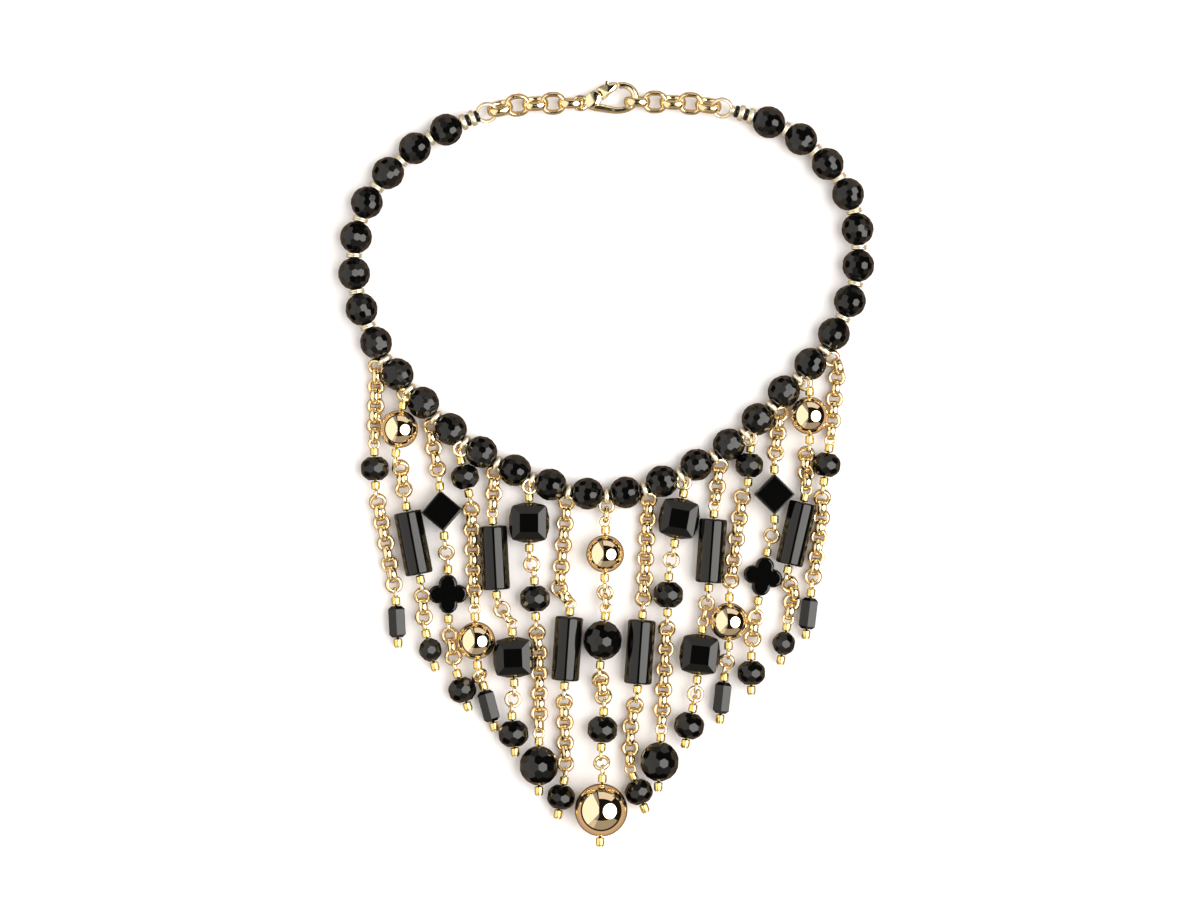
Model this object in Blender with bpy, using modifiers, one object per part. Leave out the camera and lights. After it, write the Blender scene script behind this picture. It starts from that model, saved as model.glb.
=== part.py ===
"""Bib necklace: a loop of round black beads on a thread, closed by two short chains and a claw clasp.

Fifteen chain drops hang from it as a fringe, with black stones and gold balls on their pins.
It lies flat, seen from +Z, with the clasp towards +Y and the longest drop towards -Y.
"""
import math

import bmesh
import bpy
from mathutils import Matrix, Vector

MM = 0.001
CLEARANCE = 0.35 * MM
STEP = 0.05 * MM
UP = Vector((0, 0, 1))

# Neck string, counted from the middle of the neckline outwards
NECK_BEAD = 10.0 * MM
THREAD_RADIUS = 0.45 * MM
BEADS_PER_SIDE = 15
HANGERS_PER_SIDE = 7
HANGER_GAP = 2.0 * MM
SPACER_GAP = 1.45 * MM
SPACER_DIAMETER = 5.0 * MM
SPACER_MARGIN = 0.1 * MM
END_DISC_DIAMETER = 4.8 * MM
END_DISC_THICKNESS = 1.2 * MM
END_BEAD_DIAMETER = 3.8 * MM
END_BEAD_LENGTH = 1.9 * MM
END_CUP_DIAMETER = 3.0 * MM
END_CUP_LENGTH = 1.6 * MM
NECK_HEIGHT = NECK_BEAD / 2

# The neck string's route, from the left chain round the neckline to the right chain, in millimetres
# before it is drawn to the length of the pieces that it carries
NECK_ROUTE = [
    (-9.1, 113.4), (-28.7, 112.6), (-43.0, 108.2), (-60.8, 98.8), (-75.8, 81.6), (-79.6, 59.4), (-72.6, 37.6),
    (-57.6, 18.6), (-39.4, 3.3), (-17.6, -6.9), (-0.2, -9.9), (17.2, -5.8), (38.3, 5.8), (55.6, 22.5),
    (71.5, 40.9), (79.0, 61.9), (75.8, 84.6), (61.0, 101.9), (43.2, 109.8), (27.1, 113.1), (6.6, 113.9)]
ROUTE_MIDDLE = 10
ROUTE_SAMPLES = 24

# Small round rings that hold the drops, and the drops' own links and pins
RING_WIRE = 1.0 * MM
HANGER_DIAMETER = 5.1 * MM
HANGER_SHIFT = 0.6 * MM
END_RING_DIAMETER = 7.0 * MM
LINK_DIAMETER = 5.5 * MM
LINK_WIRE = 1.05 * MM
LINK_HOLE = LINK_DIAMETER - 2 * LINK_WIRE
HANGER_HOLE = HANGER_DIAMETER - 2 * RING_WIRE
LOOP_HOLE = 2.4 * MM
LOOP_REACH = 1.5 * MM
SEED_LENGTH = 2.6 * MM
SEED_DIAMETER = 2.7 * MM
PIN_DIAMETER = 0.8 * MM
PIN_HEAD_LENGTH = 0.3 * MM
BORE_RADIUS = PIN_DIAMETER / 2 + CLEARANCE + 0.05 * MM
SLEEVE_RADIUS = 1.85 * MM
SLENDER_RADIUS = 0.8 * MM
SLEEVE_REST = SLEEVE_RADIUS + STEP
SLEEVE_START = 5.5 * MM
SLEEVE_END = 1.7 * MM
SAG_REACH = 8.0 * MM

# Fringe beads
GOLD_BALL = 11.8 * MM
BIG_BALL = 16.5 * MM
BLACK_BALL = 12.1 * MM
SMALL_BALL = 7.2 * MM
RONDELLE_LARGE = 9.7 * MM
RONDELLE_LARGE_LENGTH = 7.9 * MM
RONDELLE_SMALL = 9.0 * MM
RONDELLE_SMALL_LENGTH = 7.3 * MM
TUBE_ACROSS = 8.7 * MM
TUBE_LENGTH = 20.0 * MM
TUBE_BEVEL = 0.5 * MM
CUSHION_SIDE = 12.6 * MM
CUSHION_DEPTH = 9.0 * MM
CUSHION_TABLE = 5.8 * MM
CUSHION_CORNER = 3.4 * MM
CUSHION_CUT = 1.0 * MM
CUSHION_GIRDLE = 1.4 * MM
CUBE_SIDE = 9.0 * MM
CUBE_BEVEL = 0.4 * MM
CLOVER_ACROSS = 12.2 * MM
CLOVER_DEPTH = 4.6 * MM
BARREL_ACROSS = 5.8 * MM
BARREL_LENGTH = 9.8 * MM
BARREL_BEVEL = 0.9 * MM

# Closure
CLOSURE_LINKS = 5
CLOSURE_LINK_LENGTH = 8.3 * MM
CLOSURE_LINK_WIDTH = 7.2 * MM
CLOSURE_WIRE = 1.6 * MM
CLOSURE_BITE = 0.5 * MM
CLOSURE_PITCH = CLOSURE_LINK_LENGTH - 2 * CLOSURE_WIRE + CLOSURE_BITE
CLOSURE_HEIGHT = CLOSURE_LINK_WIDTH / 2 + STEP
CLOSURE_FALL = 0.6
CLOSURE_TILTS = (60, -25, 65, -20, 85)
CLASP_LENGTH = 18.3 * MM
CLASP_THICKNESS = 2.8 * MM
TAIL_RADIUS = 2.6 * MM
TAIL_HOLE = 1.55 * MM
TAIL_SETBACK = 0.25 * MM
NOSE_ROOM = 1.1 * MM
LEVER_THICKNESS = 1.2 * MM
LEVER_PIN_RADIUS = 0.45 * MM
LEVER_ROOT_RADIUS = 1.5 * MM

# Clasp outlines in eighteenths of its length, from the middle of the tail hole towards the nose
LEVER_PIVOT = (3.8, 1.3)
NOSE_INNER = (16.0, 0.4)
CLAW_OUTLINE = [
    (2.8, -1.5), (5.4, -2.0), (7.9, -2.6), (10.4, -3.2), (12.9, -3.3), (15.4, -2.5), (16.8, -1.1), (17.5, 0.8),
    (17.5, 2.7), (16.7, 4.4), (15.1, 5.8), (13.2, 6.5), (11.5, 6.4), (11.3, 4.9), (11.8, 4.4), (13.0, 4.8),
    (14.8, 4.1), (15.9, 2.7), (16.0, 0.8), (15.3, -0.7), (13.5, -1.6), (11.0, -1.7), (8.5, -1.2), (6.8, -0.5),
    (6.2, 0.8), (5.9, 2.2), (5.0, 3.1), (3.9, 3.4), (2.6, 3.0)]
LEVER_OUTLINE = [
    (5.6, 1.3), (8.0, 2.7), (10.4, 4.1), (10.5, 5.5), (9.6, 5.7), (8.5, 5.3), (8.1, 6.4), (7.4, 6.4), (7.0, 4.9),
    (5.6, 3.9), (4.4, 2.9)]

# Drops, left to right. A run is (links, share of its taut length, lean); a bead is (kind, lean).
# Leans are degrees from straight down, positive towards +X.
DROPS = [
    [(1, 1.00, -48), (7, 0.91, -1.8), ("rondelle_small", 2), (9, 0.97, 11), ("barrel", 3)],
    [(1, 0.30, -15), ("gold_ball", -8), (1, 1.00, 36), (2, 1.00, 8), ("tube", 11), (3, 0.98, 3), ("small_ball", 15)],
    [(2, 1.00, -3), (3, 1.00, 11), ("cube", 5), (1, 1.00, 8), ("clover", 1), (3, 1.00, 9), ("rondelle_small", 18)],
    [(1, 0.45, -19), ("rondelle_small", 13), (10, 0.93, 2.2), ("gold_ball", 3), (1, 0.38, 26), ("barrel", 15)],
    [(4, 0.96, -3), ("tube", 3), (2, 0.90, 35), ("cushion", 2), (1, 0.97, -10), ("rondelle_large", 5)],
    [(1, 0.36, -8), ("cushion", 0), (1, 0.97, 16), ("rondelle_large", 2), (3, 0.94, 6), (7, 0.94, 0), ("black_ball", 0)],
    [(9, 1.00, -5), (1, 0.95, 36), ("tube", -4), (7, 0.95, 1), ("rondelle_small", -10)],
    [(2, 0.81, -3), ("gold_ball", -1), (2, 0.77, 4), ("black_ball", -6), (3, 0.79, 9), ("rondelle_large", -4),
     (1, 0.80, 7), ("big_ball", -2)],
    [(1, 1.00, 28), (10, 0.92, -3), ("tube", -4), (3, 1.00, -12), (3, 1.00, 0), ("rondelle_small", 20)],
    [(1, 0.44, 20), ("cushion", -10), (1, 1.00, -13), ("rondelle_large", -2), (10, 0.94, -3.2), ("black_ball", -3)],
    [(1, 1.00, 35), (3, 0.98, -7.5), ("tube", -4), (2, 0.90, -11), ("cushion", -6), (1, 0.72, -8),
     ("rondelle_large", -12)],
    [(1, 0.28, 42), ("rondelle_small", -4), (1, 1.00, -35), (8, 0.97, -8), ("gold_ball", -1), (1, 0.90, -10),
     ("barrel", -6)],
    [(1, 1.00, 58), (4, 0.93, -7), ("cube", 0), (1, 1.00, -16), ("clover", -11), (3, 1.00, -8),
     ("rondelle_small", 0)],
    [(1, 0.50, 80), ("gold_ball", 0), (1, 0.84, -22), (3, 0.84, 0), ("tube", -13), (2, 0.87, 26), (2, 0.87, -12),
     ("small_ball", -10)],
    [(2, 1.00, 38), (6, 1.00, -6), ("rondelle_small", -9), (3, 0.92, -2), (6, 0.92, -8), ("barrel", -7)],
]

# Each fringe bead's length along its pin, and the height of its pin above the surface
BEAD_SIZES = {
    "gold_ball": (GOLD_BALL, GOLD_BALL / 2),
    "big_ball": (BIG_BALL, BIG_BALL / 2),
    "black_ball": (BLACK_BALL, BLACK_BALL / 2),
    "small_ball": (SMALL_BALL, SMALL_BALL / 2),
    "rondelle_large": (RONDELLE_LARGE_LENGTH, RONDELLE_LARGE / 2),
    "rondelle_small": (RONDELLE_SMALL_LENGTH, RONDELLE_SMALL / 2),
    "tube": (TUBE_LENGTH, TUBE_ACROSS / 2),
    "cushion": (CUSHION_SIDE, CUSHION_DEPTH / 2),
    "cube": (CUBE_SIDE * math.sqrt(2) - CUBE_BEVEL, CUBE_SIDE / 2),
    "clover": (CLOVER_ACROSS, CLOVER_DEPTH / 2),
    "barrel": (BARREL_LENGTH, BARREL_ACROSS / 2),
}


def clear_scene():
    for old in list(bpy.data.objects):
        bpy.data.objects.remove(old)


def make_collection(name):
    collection = bpy.data.collections.new(name)
    bpy.context.scene.collection.children.link(collection)
    return collection


def make_material(name, color, metallic, roughness):
    material = bpy.data.materials.new(name)
    material.use_nodes = True
    shader = material.node_tree.nodes["Principled BSDF"]
    shader.inputs["Base Color"].default_value = (*color, 1)
    shader.inputs["Metallic"].default_value = metallic
    shader.inputs["Roughness"].default_value = roughness
    return material


def add_object(name, data):
    obj = bpy.data.objects.new(name, data)
    NECKLACE.objects.link(obj)
    return obj


def baked_mesh(obj):
    """The object's evaluated mesh in its own frame; the object itself is removed."""
    depsgraph = bpy.context.evaluated_depsgraph_get()
    depsgraph.update()
    mesh = bpy.data.meshes.new_from_object(obj.evaluated_get(depsgraph))
    bpy.data.objects.remove(obj)
    return mesh


def weld(mesh):
    work = bmesh.new()
    work.from_mesh(mesh)
    bmesh.ops.remove_doubles(work, verts=work.verts, dist=1e-6)
    if work.calc_volume(signed=True) < 0:
        bmesh.ops.reverse_faces(work, faces=work.faces)
    work.to_mesh(mesh)
    work.free()
    return mesh


def combine(mesh, tool, operation):
    """One mesh from two by an exact Boolean."""
    target = add_object("work", mesh)
    cutter = add_object("cutter", tool)
    cutter.hide_render = True
    cutter.display_type = "WIRE"
    modifier = target.modifiers.new("Boolean", "BOOLEAN")
    modifier.operation = operation
    modifier.solver = "EXACT"
    modifier.object = cutter
    result = baked_mesh(target)
    bpy.data.objects.remove(cutter)
    return weld(result)


def joined(meshes):
    """One mesh that holds several separate ones."""
    work = bmesh.new()
    for mesh in meshes:
        work.from_mesh(mesh)
    result = bpy.data.meshes.new("joined")
    work.to_mesh(result)
    work.free()
    return result


def finish(name, mesh, material, matrix=None, parent=None):
    """Make a named sub-part from a mesh."""
    obj = add_object(name, mesh)
    if not mesh.materials:
        mesh.materials.append(material)
    if matrix is not None:
        obj.matrix_world = matrix
    if parent is not None:
        obj.parent = parent
        obj.matrix_parent_inverse = parent.matrix_world.inverted()
    return obj


def tube_mesh(stations, sides, cyclic=False):
    """A tube through (point, radius) stations, with 6, 8, 10 or 12 sides."""
    curve = bpy.data.curves.new("tube", "CURVE")
    curve.dimensions = "3D"
    curve.fill_mode = "FULL"
    curve.twist_mode = "Z_UP"
    curve.bevel_depth = 1 * MM
    curve.bevel_resolution = sides // 2 - 2
    curve.render_resolution_u = 0
    curve.use_fill_caps = not cyclic
    spline = curve.splines.new("POLY")
    spline.points.add(len(stations) - 1)
    spline.use_cyclic_u = cyclic
    for point, (place, radius) in zip(spline.points, stations):
        point.co = (*place, 1)
        point.radius = radius / curve.bevel_depth
    return weld(baked_mesh(add_object("tube", curve)))


def turned_mesh(profile, sides):
    """A closed profile of (radius, height) turned round Z; it runs down the outside and back up the bore."""
    mesh = bpy.data.meshes.new("turned")
    count = len(profile)
    edges = [(i, (i + 1) % count) for i in range(count)]
    mesh.from_pydata([(radius, 0, height) for radius, height in profile], edges, [])
    obj = add_object("turned", mesh)
    screw = obj.modifiers.new("Screw", "SCREW")
    screw.steps = sides
    screw.render_steps = sides
    screw.use_merge_vertices = True
    screw.merge_threshold = 1e-6
    return weld(baked_mesh(obj))


def flat_mesh(outlines, thickness):
    """Flat outlines in XY, the first one outside and the others holes, extruded evenly about Z = 0."""
    curve = bpy.data.curves.new("flat", "CURVE")
    curve.dimensions = "2D"
    curve.fill_mode = "BOTH"
    curve.extrude = thickness / 2
    for outline in outlines:
        spline = curve.splines.new("POLY")
        spline.points.add(len(outline) - 1)
        spline.use_cyclic_u = True
        for point, (x, y) in zip(spline.points, outline):
            point.co = (x, y, 0, 1)
    return weld(baked_mesh(add_object("flat", curve)))


def rod_mesh(radius, length, sides):
    work = bmesh.new()
    bmesh.ops.create_cone(work, cap_ends=True, segments=sides, radius1=radius, radius2=radius, depth=length)
    mesh = bpy.data.meshes.new("rod")
    work.to_mesh(mesh)
    work.free()
    return mesh


def block_mesh(size, place=(0, 0, 0)):
    work = bmesh.new()
    bmesh.ops.create_cube(work, size=1, matrix=Matrix.Translation(place) @ Matrix.Diagonal((*size, 1)))
    mesh = bpy.data.meshes.new("block")
    work.to_mesh(mesh)
    work.free()
    return mesh


def ring_mesh(diameter, wire, frame):
    """A round ring in the XY plane of a frame."""
    bpy.ops.mesh.primitive_torus_add(major_segments=10, minor_segments=5, major_radius=(diameter - wire) / 2,
                                     minor_radius=wire / 2)
    ring = bpy.context.object
    mesh = ring.data
    bpy.data.objects.remove(ring)
    mesh.transform(frame)
    return weld(mesh)


def axes_frame(place, x_axis, y_axis):
    z_axis = x_axis.cross(y_axis)
    return Matrix.Translation(place) @ Matrix((x_axis, y_axis, z_axis)).transposed().to_4x4()


def route_samples():
    """Points along a smooth curve through the neck route, and their distance along it from its middle."""
    points = [Vector((x * MM, y * MM, 0)) for x, y in NECK_ROUTE]
    gap = (points[-1] - points[0]).length
    points = [2 * points[0] - points[1]] + points + [2 * points[-1] - points[-2]]
    samples = []
    for before, start, end, after in zip(points, points[1:], points[2:], points[3:]):
        for i in range(ROUTE_SAMPLES):
            t = i / ROUTE_SAMPLES
            samples.append(0.5 * (2 * start + (end - before) * t + (2 * before - 5 * start + 4 * end - after) * t ** 2
                                  + (3 * start - before - 3 * end + after) * t ** 3))
    samples.append(points[-2])
    distances = [0.0]
    for a, b in zip(samples, samples[1:]):
        distances.append(distances[-1] + (b - a).length)
    middle = distances[ROUTE_MIDDLE * ROUTE_SAMPLES]
    scale = loop_length() / (distances[-1] + gap)
    return [sample * scale for sample in samples], [(distance - middle) * scale for distance in distances]


def route_place(distance):
    """The place and the direction at a signed distance from the middle of the neckline."""
    samples, distances = ROUTE
    index = 0
    while index < len(distances) - 2 and distances[index + 1] < distance:
        index += 1
    share = (distance - distances[index]) / (distances[index + 1] - distances[index])
    direction = (samples[index + 1] - samples[index]).normalized()
    return samples[index].lerp(samples[index + 1], share), direction


def neck_bead_distance(index):
    """How far along the thread a neck bead's middle is from the middle of the neckline."""
    hanging = min(index, HANGERS_PER_SIDE)
    spaced = index - hanging
    return (NECK_BEAD + HANGER_GAP) * (hanging + 0.5) + (NECK_BEAD + SPACER_GAP) * spaced


def end_stack(side):
    """Lengths and radii of the discs and small beads beyond the last neck bead, with a cup on the right."""
    disc = (END_DISC_THICKNESS, END_DISC_DIAMETER / 2)
    small = (END_BEAD_LENGTH, END_BEAD_DIAMETER / 2)
    cup = (END_CUP_LENGTH, END_CUP_DIAMETER / 2)
    return [disc, small, disc, small] + ([cup] if side > 0 else [])


def string_end(side):
    """How far the neck string reaches from the middle of the neckline, without its end ring."""
    last = neck_bead_distance(BEADS_PER_SIDE - 1) + NECK_BEAD / 2
    return last + SPACER_MARGIN + sum(length for length, radius in end_stack(side))


def first_link_distance(side):
    """How far the first closure link's middle is from the middle of the neckline."""
    ring_far_side = string_end(side) + END_RING_DIAMETER - 2 * RING_WIRE
    return ring_far_side - 2 * CLEARANCE - CLOSURE_WIRE + CLOSURE_LINK_LENGTH / 2


def grip_point():
    """Where the wire of the last right link stands in the hook, in the clasp's frame."""
    (x, y), = clasp_outline([NOSE_INNER])
    return Vector((x - NOSE_ROOM - CLOSURE_WIRE / 2, y, 0))


def loop_length():
    """The whole loop: both strings and chains, and the clasp between them."""
    links = CLOSURE_PITCH * (CLOSURE_LINKS - 1) + (CLOSURE_LINK_LENGTH - CLOSURE_WIRE) / 2
    return first_link_distance(-1) + first_link_distance(1) + 2 * links + grip_point().length - TAIL_SETBACK


def neck_string(side):
    """One half of the neck string: beads and spacers on their thread, with a ring at its end."""
    stations = []

    def add(distance, radius):
        place, direction = route_place(side * distance)
        stations.append((place + UP * NECK_HEIGHT, radius))

    add(CLEARANCE, THREAD_RADIUS)
    for index in range(BEADS_PER_SIDE):
        middle = neck_bead_distance(index)
        place, direction = route_place(side * middle)
        outwards = direction * side
        half = NECK_BEAD / 2
        for share, radius in ((-1, THREAD_RADIUS), (-0.9, 0.53 * half), (-0.36, half), (0.36, half),
                              (0.9, 0.53 * half), (1, THREAD_RADIUS)):
            stations.append((place + outwards * half * share + UP * NECK_HEIGHT, radius))
        if HANGERS_PER_SIDE <= index < BEADS_PER_SIDE - 1:
            add(middle + half + SPACER_MARGIN, SPACER_DIAMETER / 2)
            add(middle + half + SPACER_GAP - SPACER_MARGIN, SPACER_DIAMETER / 2)
    reach = string_end(side) - sum(length for length, radius in end_stack(side))
    for length, radius in end_stack(side):
        add(reach + STEP, radius)
        add(reach + length - STEP, radius)
        reach += length
    string = tube_mesh(stations, 8)
    ring = ring_mesh(END_RING_DIAMETER, RING_WIRE, end_ring_frame(side))
    return combine(string, ring, "UNION")


def tilted_frame(place, along, tilt):
    """A frame with X along a chain and its XY plane turned round that line by a tilt in degrees."""
    level = UP.cross(along).normalized()
    sideways = Matrix.Rotation(math.radians(tilt), 3, along) @ level
    return axes_frame(place, along, sideways)


def end_ring_frame(side):
    """The ring at a string's end, its plane square to the first link of the closure chain."""
    reach = string_end(side) + END_RING_DIAMETER / 2 - RING_WIRE
    place, direction = route_place(side * reach)
    return tilted_frame(place + UP * NECK_HEIGHT, direction * side, CLOSURE_TILTS[0] + 90)


def closure_places(side):
    """A place before the closure links, then their middles, from the neck string towards the clasp."""
    first = first_link_distance(side)
    place, direction = route_place(side * (first - CLOSURE_PITCH))
    places = [place + UP * NECK_HEIGHT]
    for index in range(CLOSURE_LINKS):
        place, direction = route_place(side * (first + CLOSURE_PITCH * index))
        fall = CLOSURE_FALL ** (index + 1)
        places.append(place + UP * (CLOSURE_HEIGHT + (NECK_HEIGHT - CLOSURE_HEIGHT) * fall))
    return places


def closure_directions(places):
    """Each closure link's direction, from its neighbours on both sides."""
    last = len(places) - 1
    return [(places[min(i + 1, last)] - places[i - 1]).normalized() for i in range(1, len(places))]


def oval_link(frame):
    """A link with round ends in the XY plane of a frame, its length along X."""
    bend = (CLOSURE_LINK_WIDTH - CLOSURE_WIRE) / 2
    straight = (CLOSURE_LINK_LENGTH - CLOSURE_LINK_WIDTH) / 2
    stations = []
    for end in (1, -1):
        for i in range(5):
            angle = math.radians(-90 + 45 * i)
            point = Vector((end * (straight + bend * math.cos(angle)), end * bend * math.sin(angle), 0))
            stations.append((point, CLOSURE_WIRE / 2))
    mesh = tube_mesh(stations, 6, cyclic=True)
    mesh.transform(frame)
    return mesh


def closure_chain(side):
    """A chain of interlocking oval links, each turned against the last."""
    places = closure_places(side)
    directions = closure_directions(places)
    links = [oval_link(tilted_frame(place, direction, tilt))
             for place, direction, tilt in zip(places[1:], directions, CLOSURE_TILTS)]
    return combine(joined(links[0::2]), joined(links[1::2]), "UNION")


def clasp_frame():
    """The clasp's frame: its origin in the tail hole, the last right link in its hook."""
    left = closure_places(-1)
    right = closure_places(1)
    reach = (CLOSURE_LINK_LENGTH - CLOSURE_WIRE) / 2
    tail = left[-1] + closure_directions(left)[-1] * (reach - TAIL_SETBACK)
    grip = right[-1] + closure_directions(right)[-1] * reach
    along = (grip - tail)
    along.z = 0
    turn = math.atan2(grip_point().y, grip_point().x)
    return tilted_frame(tail, Matrix.Rotation(-turn, 3, "Z") @ along.normalized(), 0)


def clasp_outline(points):
    unit = CLASP_LENGTH / 18
    return [(x * unit, y * unit) for x, y in points]


def circle_outline(center, radius, count, start=0.0, end=360.0):
    """Points round an arc; a whole circle leaves out its last point."""
    steps = count if end - start >= 360 else count - 1
    points = []
    for i in range(count):
        angle = math.radians(start + (end - start) * i / steps)
        points.append((center[0] + radius * math.cos(angle), center[1] + radius * math.sin(angle)))
    return points


def clasp_claw():
    """The hook with its tail ring, a slot for the lever and the pivot pin across the slot."""
    tail = circle_outline((0, 0), TAIL_RADIUS, 7, 55, 305)
    hole = circle_outline((0, 0), TAIL_HOLE, 10)
    mesh = flat_mesh([tail + clasp_outline(CLAW_OUTLINE), hole], CLASP_THICKNESS)
    (pivot_x, pivot_y), = clasp_outline([LEVER_PIVOT])
    margin = LEVER_ROOT_RADIUS + CLEARANCE
    slot_thickness = LEVER_THICKNESS + 2 * CLEARANCE
    slot_reach = CLASP_LENGTH / 4
    slot = block_mesh((slot_reach, slot_reach, slot_thickness),
                      (pivot_x - margin + slot_reach / 2, pivot_y - margin + slot_reach / 2, 0))
    mesh = combine(mesh, slot, "DIFFERENCE")
    pin = rod_mesh(LEVER_PIN_RADIUS, CLASP_THICKNESS - STEP, 8)
    pin.transform(Matrix.Translation((pivot_x, pivot_y, 0)))
    return combine(mesh, pin, "UNION")


def clasp_lever():
    """The lever, drilled for the pivot pin, with its thumb tab; its origin is on the pivot."""
    pivot, = clasp_outline([LEVER_PIVOT])
    root = circle_outline(pivot, LEVER_ROOT_RADIUS, 7, 110, 330)
    hole = circle_outline(pivot, LEVER_PIN_RADIUS + CLEARANCE, 8)
    mesh = flat_mesh([root + clasp_outline(LEVER_OUTLINE), hole], LEVER_THICKNESS)
    mesh.transform(Matrix.Translation((-pivot[0], -pivot[1], 0)))
    return mesh


def ball_profile(diameter, bands):
    """A round bead's profile with its bore, from bands of equal angle."""
    radius = diameter / 2
    start = math.asin(BORE_RADIUS / radius)
    profile = []
    for i in range(bands + 1):
        angle = start + (math.pi - 2 * start) * i / bands
        profile.append((radius * math.sin(angle), radius * math.cos(angle)))
    return profile


def rondelle_profile(diameter, length):
    rim = diameter / 2
    flat = rim * 0.42
    belt = length * 0.16
    half = length / 2
    return [(BORE_RADIUS, half), (flat, half), (rim, belt), (rim, -belt), (flat, -half), (BORE_RADIUS, -half)]


def tube_profile():
    rim = TUBE_ACROSS / 2
    half = TUBE_LENGTH / 2
    return [(BORE_RADIUS, half), (rim - TUBE_BEVEL, half), (rim, half - TUBE_BEVEL), (rim, TUBE_BEVEL - half),
            (rim - TUBE_BEVEL, -half), (BORE_RADIUS, -half)]


def bored(mesh, length):
    """Drill a bead along Z."""
    return combine(mesh, rod_mesh(BORE_RADIUS, length * 1.5, 8), "DIFFERENCE")


def cushion_mesh():
    """A square stone with cut corners, a table above and below and sloping facets between."""
    work = bmesh.new()
    side = CUSHION_SIDE / 2
    for y, scale in ((CUSHION_DEPTH / 2, CUSHION_TABLE / CUSHION_SIDE), (CUSHION_GIRDLE / 2, 1)):
        for x, z in ((side, side - CUSHION_CORNER), (side - CUSHION_CUT, side - CUSHION_CUT),
                     (side - CUSHION_CORNER, side)):
            for turn in range(4):
                x, z = z, -x
                work.verts.new((x * scale, y, z * scale))
                work.verts.new((x * scale, -y, z * scale))
    bmesh.ops.convex_hull(work, input=list(work.verts))
    mesh = bpy.data.meshes.new("cushion")
    work.to_mesh(mesh)
    work.free()
    return bored(mesh, CUSHION_SIDE)


def cube_mesh():
    """A cube drilled from corner to corner of its upper face."""
    work = bmesh.new()
    bmesh.ops.create_cube(work, size=CUBE_SIDE, matrix=Matrix.Rotation(math.radians(45), 4, "Y"))
    bmesh.ops.bevel(work, geom=list(work.edges), offset=CUBE_BEVEL, segments=1, affect="EDGES")
    mesh = bpy.data.meshes.new("cube")
    work.to_mesh(mesh)
    work.free()
    return bored(mesh, CUBE_SIDE * 2)


def clover_mesh():
    """A flat quatrefoil of four round lobes, drilled across."""
    lobe = CLOVER_ACROSS * 0.215
    reach = CLOVER_ACROSS / 2 - lobe
    outline = []
    for quarter in range(4):
        turn = quarter * 90
        middle = (reach * math.cos(math.radians(turn)), reach * math.sin(math.radians(turn)))
        outline += circle_outline(middle, lobe, 7, turn - 112, turn + 112)
    mesh = flat_mesh([outline], CLOVER_DEPTH)
    mesh.transform(Matrix.Rotation(math.radians(90), 4, "X"))
    return bored(mesh, CLOVER_ACROSS)


def bead_meshes():
    """One shared mesh for each kind of fringe bead, its bore along Z and its upper side towards Y."""
    return {
        "gold_ball": turned_mesh(ball_profile(GOLD_BALL, 5), 12),
        "big_ball": turned_mesh(ball_profile(BIG_BALL, 6), 14),
        "black_ball": turned_mesh(ball_profile(BLACK_BALL, 5), 12),
        "small_ball": turned_mesh(ball_profile(SMALL_BALL, 5), 10),
        "rondelle_large": turned_mesh(rondelle_profile(RONDELLE_LARGE, RONDELLE_LARGE_LENGTH), 10),
        "rondelle_small": turned_mesh(rondelle_profile(RONDELLE_SMALL, RONDELLE_SMALL_LENGTH), 10),
        "tube": turned_mesh(tube_profile(), 8),
        "cushion": cushion_mesh(),
        "cube": cube_mesh(),
        "clover": clover_mesh(),
    }


def lean_direction(lean):
    angle = math.radians(lean)
    return Vector((math.sin(angle), -math.cos(angle), 0))


def hanger_frame(number):
    """A drop's hanger ring: round the thread, shifted away from the neckline's middle and down."""
    gap = number - HANGERS_PER_SIDE
    distance = (NECK_BEAD + HANGER_GAP) * gap
    place, direction = route_place(distance)
    outwards = direction.cross(UP)
    place = place + UP * (NECK_HEIGHT - HANGER_SHIFT) + outwards * HANGER_SHIFT
    return axes_frame(place, outwards, UP), outwards


def drop_layout(number):
    """Runs of chain as (start, end, bends before, bends after) and beads as (kind, middle, direction)."""
    frame, outwards = hanger_frame(number)
    pen = frame.translation + outwards * HANGER_HOLE / 2
    hole = 0.0
    lean = lean_direction(0)
    share = 1.0
    route = [pen.copy()]
    parts = []
    for piece in DROPS[number]:
        if isinstance(piece[0], str):
            kind = piece[0]
            length, height = BEAD_SIZES[kind]
            pen = pen + lean * share * (hole + LOOP_HOLE) / 2
            pen.z = height
            route.append(pen)
            parts.append(("run", route))
            direction = lean_direction(piece[1])
            reach = LOOP_REACH + SEED_LENGTH + length / 2
            middle = pen + direction * reach
            parts.append((kind, middle, direction))
            pen = middle + direction * reach
            hole = LOOP_HOLE
            route = [pen.copy()]
        else:
            links, share, angle = piece
            lean = lean_direction(angle)
            for i in range(links):
                pen = pen + lean * share * (hole + LINK_HOLE) / 2
                hole = LINK_HOLE
            if links:
                route.append(pen.copy())
    return parts


def chain_stations(route, first):
    """Stations of the sleeve that stands for a run of links, sagging to the surface between its ends."""
    lengths = [(b - a).to_2d().length for a, b in zip(route, route[1:])]
    total = sum(lengths)
    start = SLEEVE_START if first else SLEEVE_END
    end = total - SLEEVE_END
    stations = []
    if first:
        stations.append((route[0] - (route[1] - route[0]).normalized() * RING_WIRE / 3, SLENDER_RADIUS))
    if end - start < LINK_HOLE:
        stations.append(((route[0] + route[-1]) / 2, SLENDER_RADIUS))
        return stations
    if first:
        stations.append((chain_place(route, start - SLEEVE_RADIUS), SLENDER_RADIUS))
    marks = [start, end]
    passed = 0.0
    for length in lengths[:-1]:
        passed += length
        if start < passed < end:
            marks.append(passed)
    for mark in sorted(marks):
        stations.append((chain_place(route, mark), SLEEVE_RADIUS))
    return stations


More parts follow.
